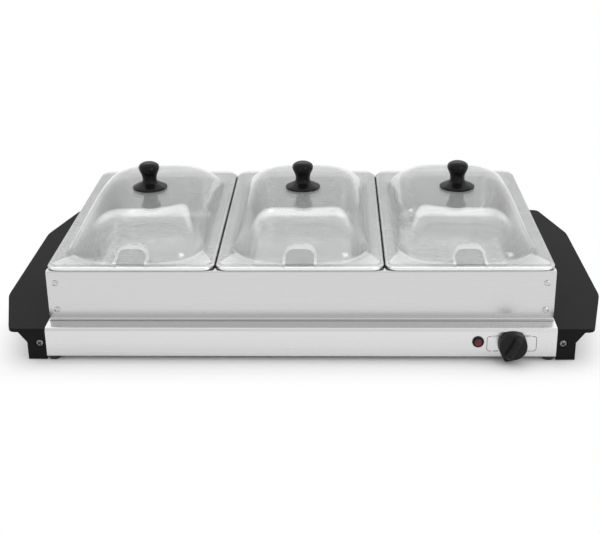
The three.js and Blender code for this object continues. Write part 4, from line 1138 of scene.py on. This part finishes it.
def print_slab(inset, start, end):
    """The print's rounded rectangle set in, from start to end in depth."""
    half_x, half_z, corner = (size - inset for size in (*PRINT_HALF, PRINT_CORNER))
    outline = rings(print_walk, half_x, half_z, corner, 0)[0, :, :2]
    return prism(outline, start, end, axes=ALONG_Y)


print_mesh = cut(mesh_of("print", print_slab(0, 0, PRINT_RISE)), print_slab(PRINT_LINE, -1, 1))
for word, (x, z) in PRINT_WORDS.items():
    print_mesh = cut(print_mesh, shifted(WORD_ROOM, (x, 0, z)))
print_mesh.transform(Matrix.Translation(Vector(print_at) * MM))
piece("dial_frame", print_mesh, "base_shell", ink, stands_for=False)
for word, (x, z) in PRINT_WORDS.items():
    letters = bpy.data.curves.new(word, "FONT")
    letters.body, letters.align_x, letters.align_y = word, "CENTER", "CENTER"
    letters.size, letters.extrude = WORD_SIZE * MM, PRINT_RISE * MM / 2
    drawn = placed(word, letters)
    word_mesh = bpy.data.meshes.new_from_object(drawn.evaluated_get(bpy.context.evaluated_depsgraph_get()))
    bpy.data.objects.remove(drawn)
    place = Vector((print_at[0] + x, print_at[1] + PRINT_RISE / 2, print_at[2] + z)) * MM
    word_mesh.transform(Matrix.Translation(place) @ stand)
    piece(f"dial_word_{word}", word_mesh, "base_shell", ink, stands_for=False)
print("printed words:", len(PRINT_WORDS))

# %% [markdown]
# ## Solids that stay
#
# The bottom cover, the lid screws and the parts inside the base keep their
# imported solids. Each gets the finish of its slot in the record, and the heating
# rod and the screws a finish of their own.

# %% Finishes of the solids that stay
slot_of_node = {entry["node"]: entry["material_slot"] for entry in frame["record"]["subparts"]}
SLOT_FINISHES = (steel_long, pan_steel, plated, black, gloss, rubber, lens_red, pale, clear)
finish_of_slot = {finish.slot: finish for finish in SLOT_FINISHES}
for node, obj in nodes.items():
    finish = finish_of_slot[slot_of_node[node]]
    if node.startswith("heating"):
        finish = rod_metal
    if "screw" in node or "rivet" in node:
        finish = screw_metal
    dressed(obj.data, finish)
print("slots with a finish:", len(finish_of_slot))

# %% [markdown]
# ## The studio
#
# A white table and a plain soft light. The steel shows what is round it, so
# the world has soft bands: a dim wall low behind the server, a bright band above
# it and a ceiling between the two. Camera rays see plain white instead. The floor
# is a matt white that takes the shadows round the server. Further out it is
# plain white to the eye and in reflections, so that it ends white, not grey.

# %% World, floor and lamps
WALL_BANDS = (
    (0.0, 0.65), (0.17, 0.65), (0.21, 0.6), (0.424, 0.6), (0.431, 2.2), (0.53, 2.2), (0.56, 1.5), (0.7, 1.4),
    (0.73, 1.1), (0.78, 1.4), (1.0, 1.1),
)
FRONT_BANDS = ((0.0, 0.85), (0.5, 0.8), (1.0, 0.85))
BESIDE_LEVEL = 1.05
WALL_SIDES = 0.38
SIDE_FADE = 7
FRONT_FADE = 1.5
SHADOW_REACH = ((0.25, 0.09), (0.18, 0.05))
TABLE_HALF = 6.0
TABLE_WHITE = 0.86


def greys(bands):
    """A ramp's stops from pairs of place and grey level."""
    return [(place, grey(level)) for place, level in bands]


def studio_world():
    """Light by direction: bands of height behind the server, nearly even in front and beside it."""
    world = bpy.data.worlds.new("studio")
    bpy.context.scene.world = world
    finish = Finish("studio", owner=world)
    aside, depth, rise = (finish.coordinate(axis, "Generated") for axis in "XYZ")
    bands = finish.node("ValToRGB", {"stops": greys(WALL_BANDS)}, {"Fac": rise})
    beside = finish.node("Clamp", sockets={"Value": (abs(aside) - WALL_SIDES) * SIDE_FADE})
    behind = finish.blend(beside, bands, grey(BESIDE_LEVEL))
    before = finish.node("ValToRGB", {"stops": greys(FRONT_BANDS)}, {"Fac": rise})
    share = finish.node("Clamp", sockets={"Value": depth * FRONT_FADE + 0.5})
    around = finish.blend(share, before, behind)
    seen = finish.node("LightPath", output="Is Camera Ray")
    colour = finish.blend(seen, around, grey(1.0))
    finish.surface(finish.node("Background", sockets={"Color": colour, "Strength": 1.0}))


def floor():
    """A white table top: matt near the server, and plain white to the eye and in reflections further out."""
    finish = Finish("white_table")
    rays = (finish.node("LightPath", output=f"Is {kind} Ray") for kind in ("Camera", "Glossy", "Transmission"))
    seen = finish.node("Clamp", sockets={"Value": sum(rays)})
    ways = (finish.coordinate(axis) for axis in "XY")
    reach = [(abs(way) - edge) * (1 / fade) for way, (edge, fade) in zip(ways, SHADOW_REACH)]
    away = finish.node("Clamp", sockets={"Value": reach[0].with_math("MAXIMUM", reach[1])})
    white = finish.node("BsdfPrincipled", sockets={"Base Color": grey(TABLE_WHITE), "Roughness": 0.8})
    glow = finish.node("Emission", sockets={"Color": grey(1.0), "Strength": 1.0})
    finish.surface(finish.node("MixShader", sockets={0: seen * away, 1: white, 2: glow}))
    mesh = bpy.data.meshes.new("table")
    corners = [(x * TABLE_HALF, y * TABLE_HALF, 0) for x, y in ((-1, -1), (1, -1), (1, 1), (-1, 1))]
    mesh.from_pydata(corners, [], [(0, 1, 2, 3)])
    mesh.materials.append(finish.owner)
    table = placed("table", mesh)


def softbox(name, place, target, size, watts, mirrored=False):
    """A rectangular lamp that points at a target; mirrored ones show in reflections."""
    lamp = bpy.data.lights.new(name, "AREA")
    lamp.shape, lamp.size, lamp.size_y, lamp.energy = "RECTANGLE", size[0], size[1], watts
    obj = placed(name, lamp)
    place, target = Vector(place), Vector(target)
    obj.matrix_world = Matrix.Translation(place) @ (target - place).to_track_quat("-Z", "Y").to_matrix().to_4x4()
    obj.visible_glossy = mirrored


studio_world()
floor()
softbox("overhead", (0.1, 0.5, 1.6), (0, 0, 0), (1.4, 0.8), 6)
softbox("front_right", (1.1, -1.3, 0.9), (0, 0, 0.05), (0.5, 1.0), 5, mirrored=True)
bpy.context.scene.view_settings.view_transform = "Standard"
print("lamps:", len(bpy.data.lights))
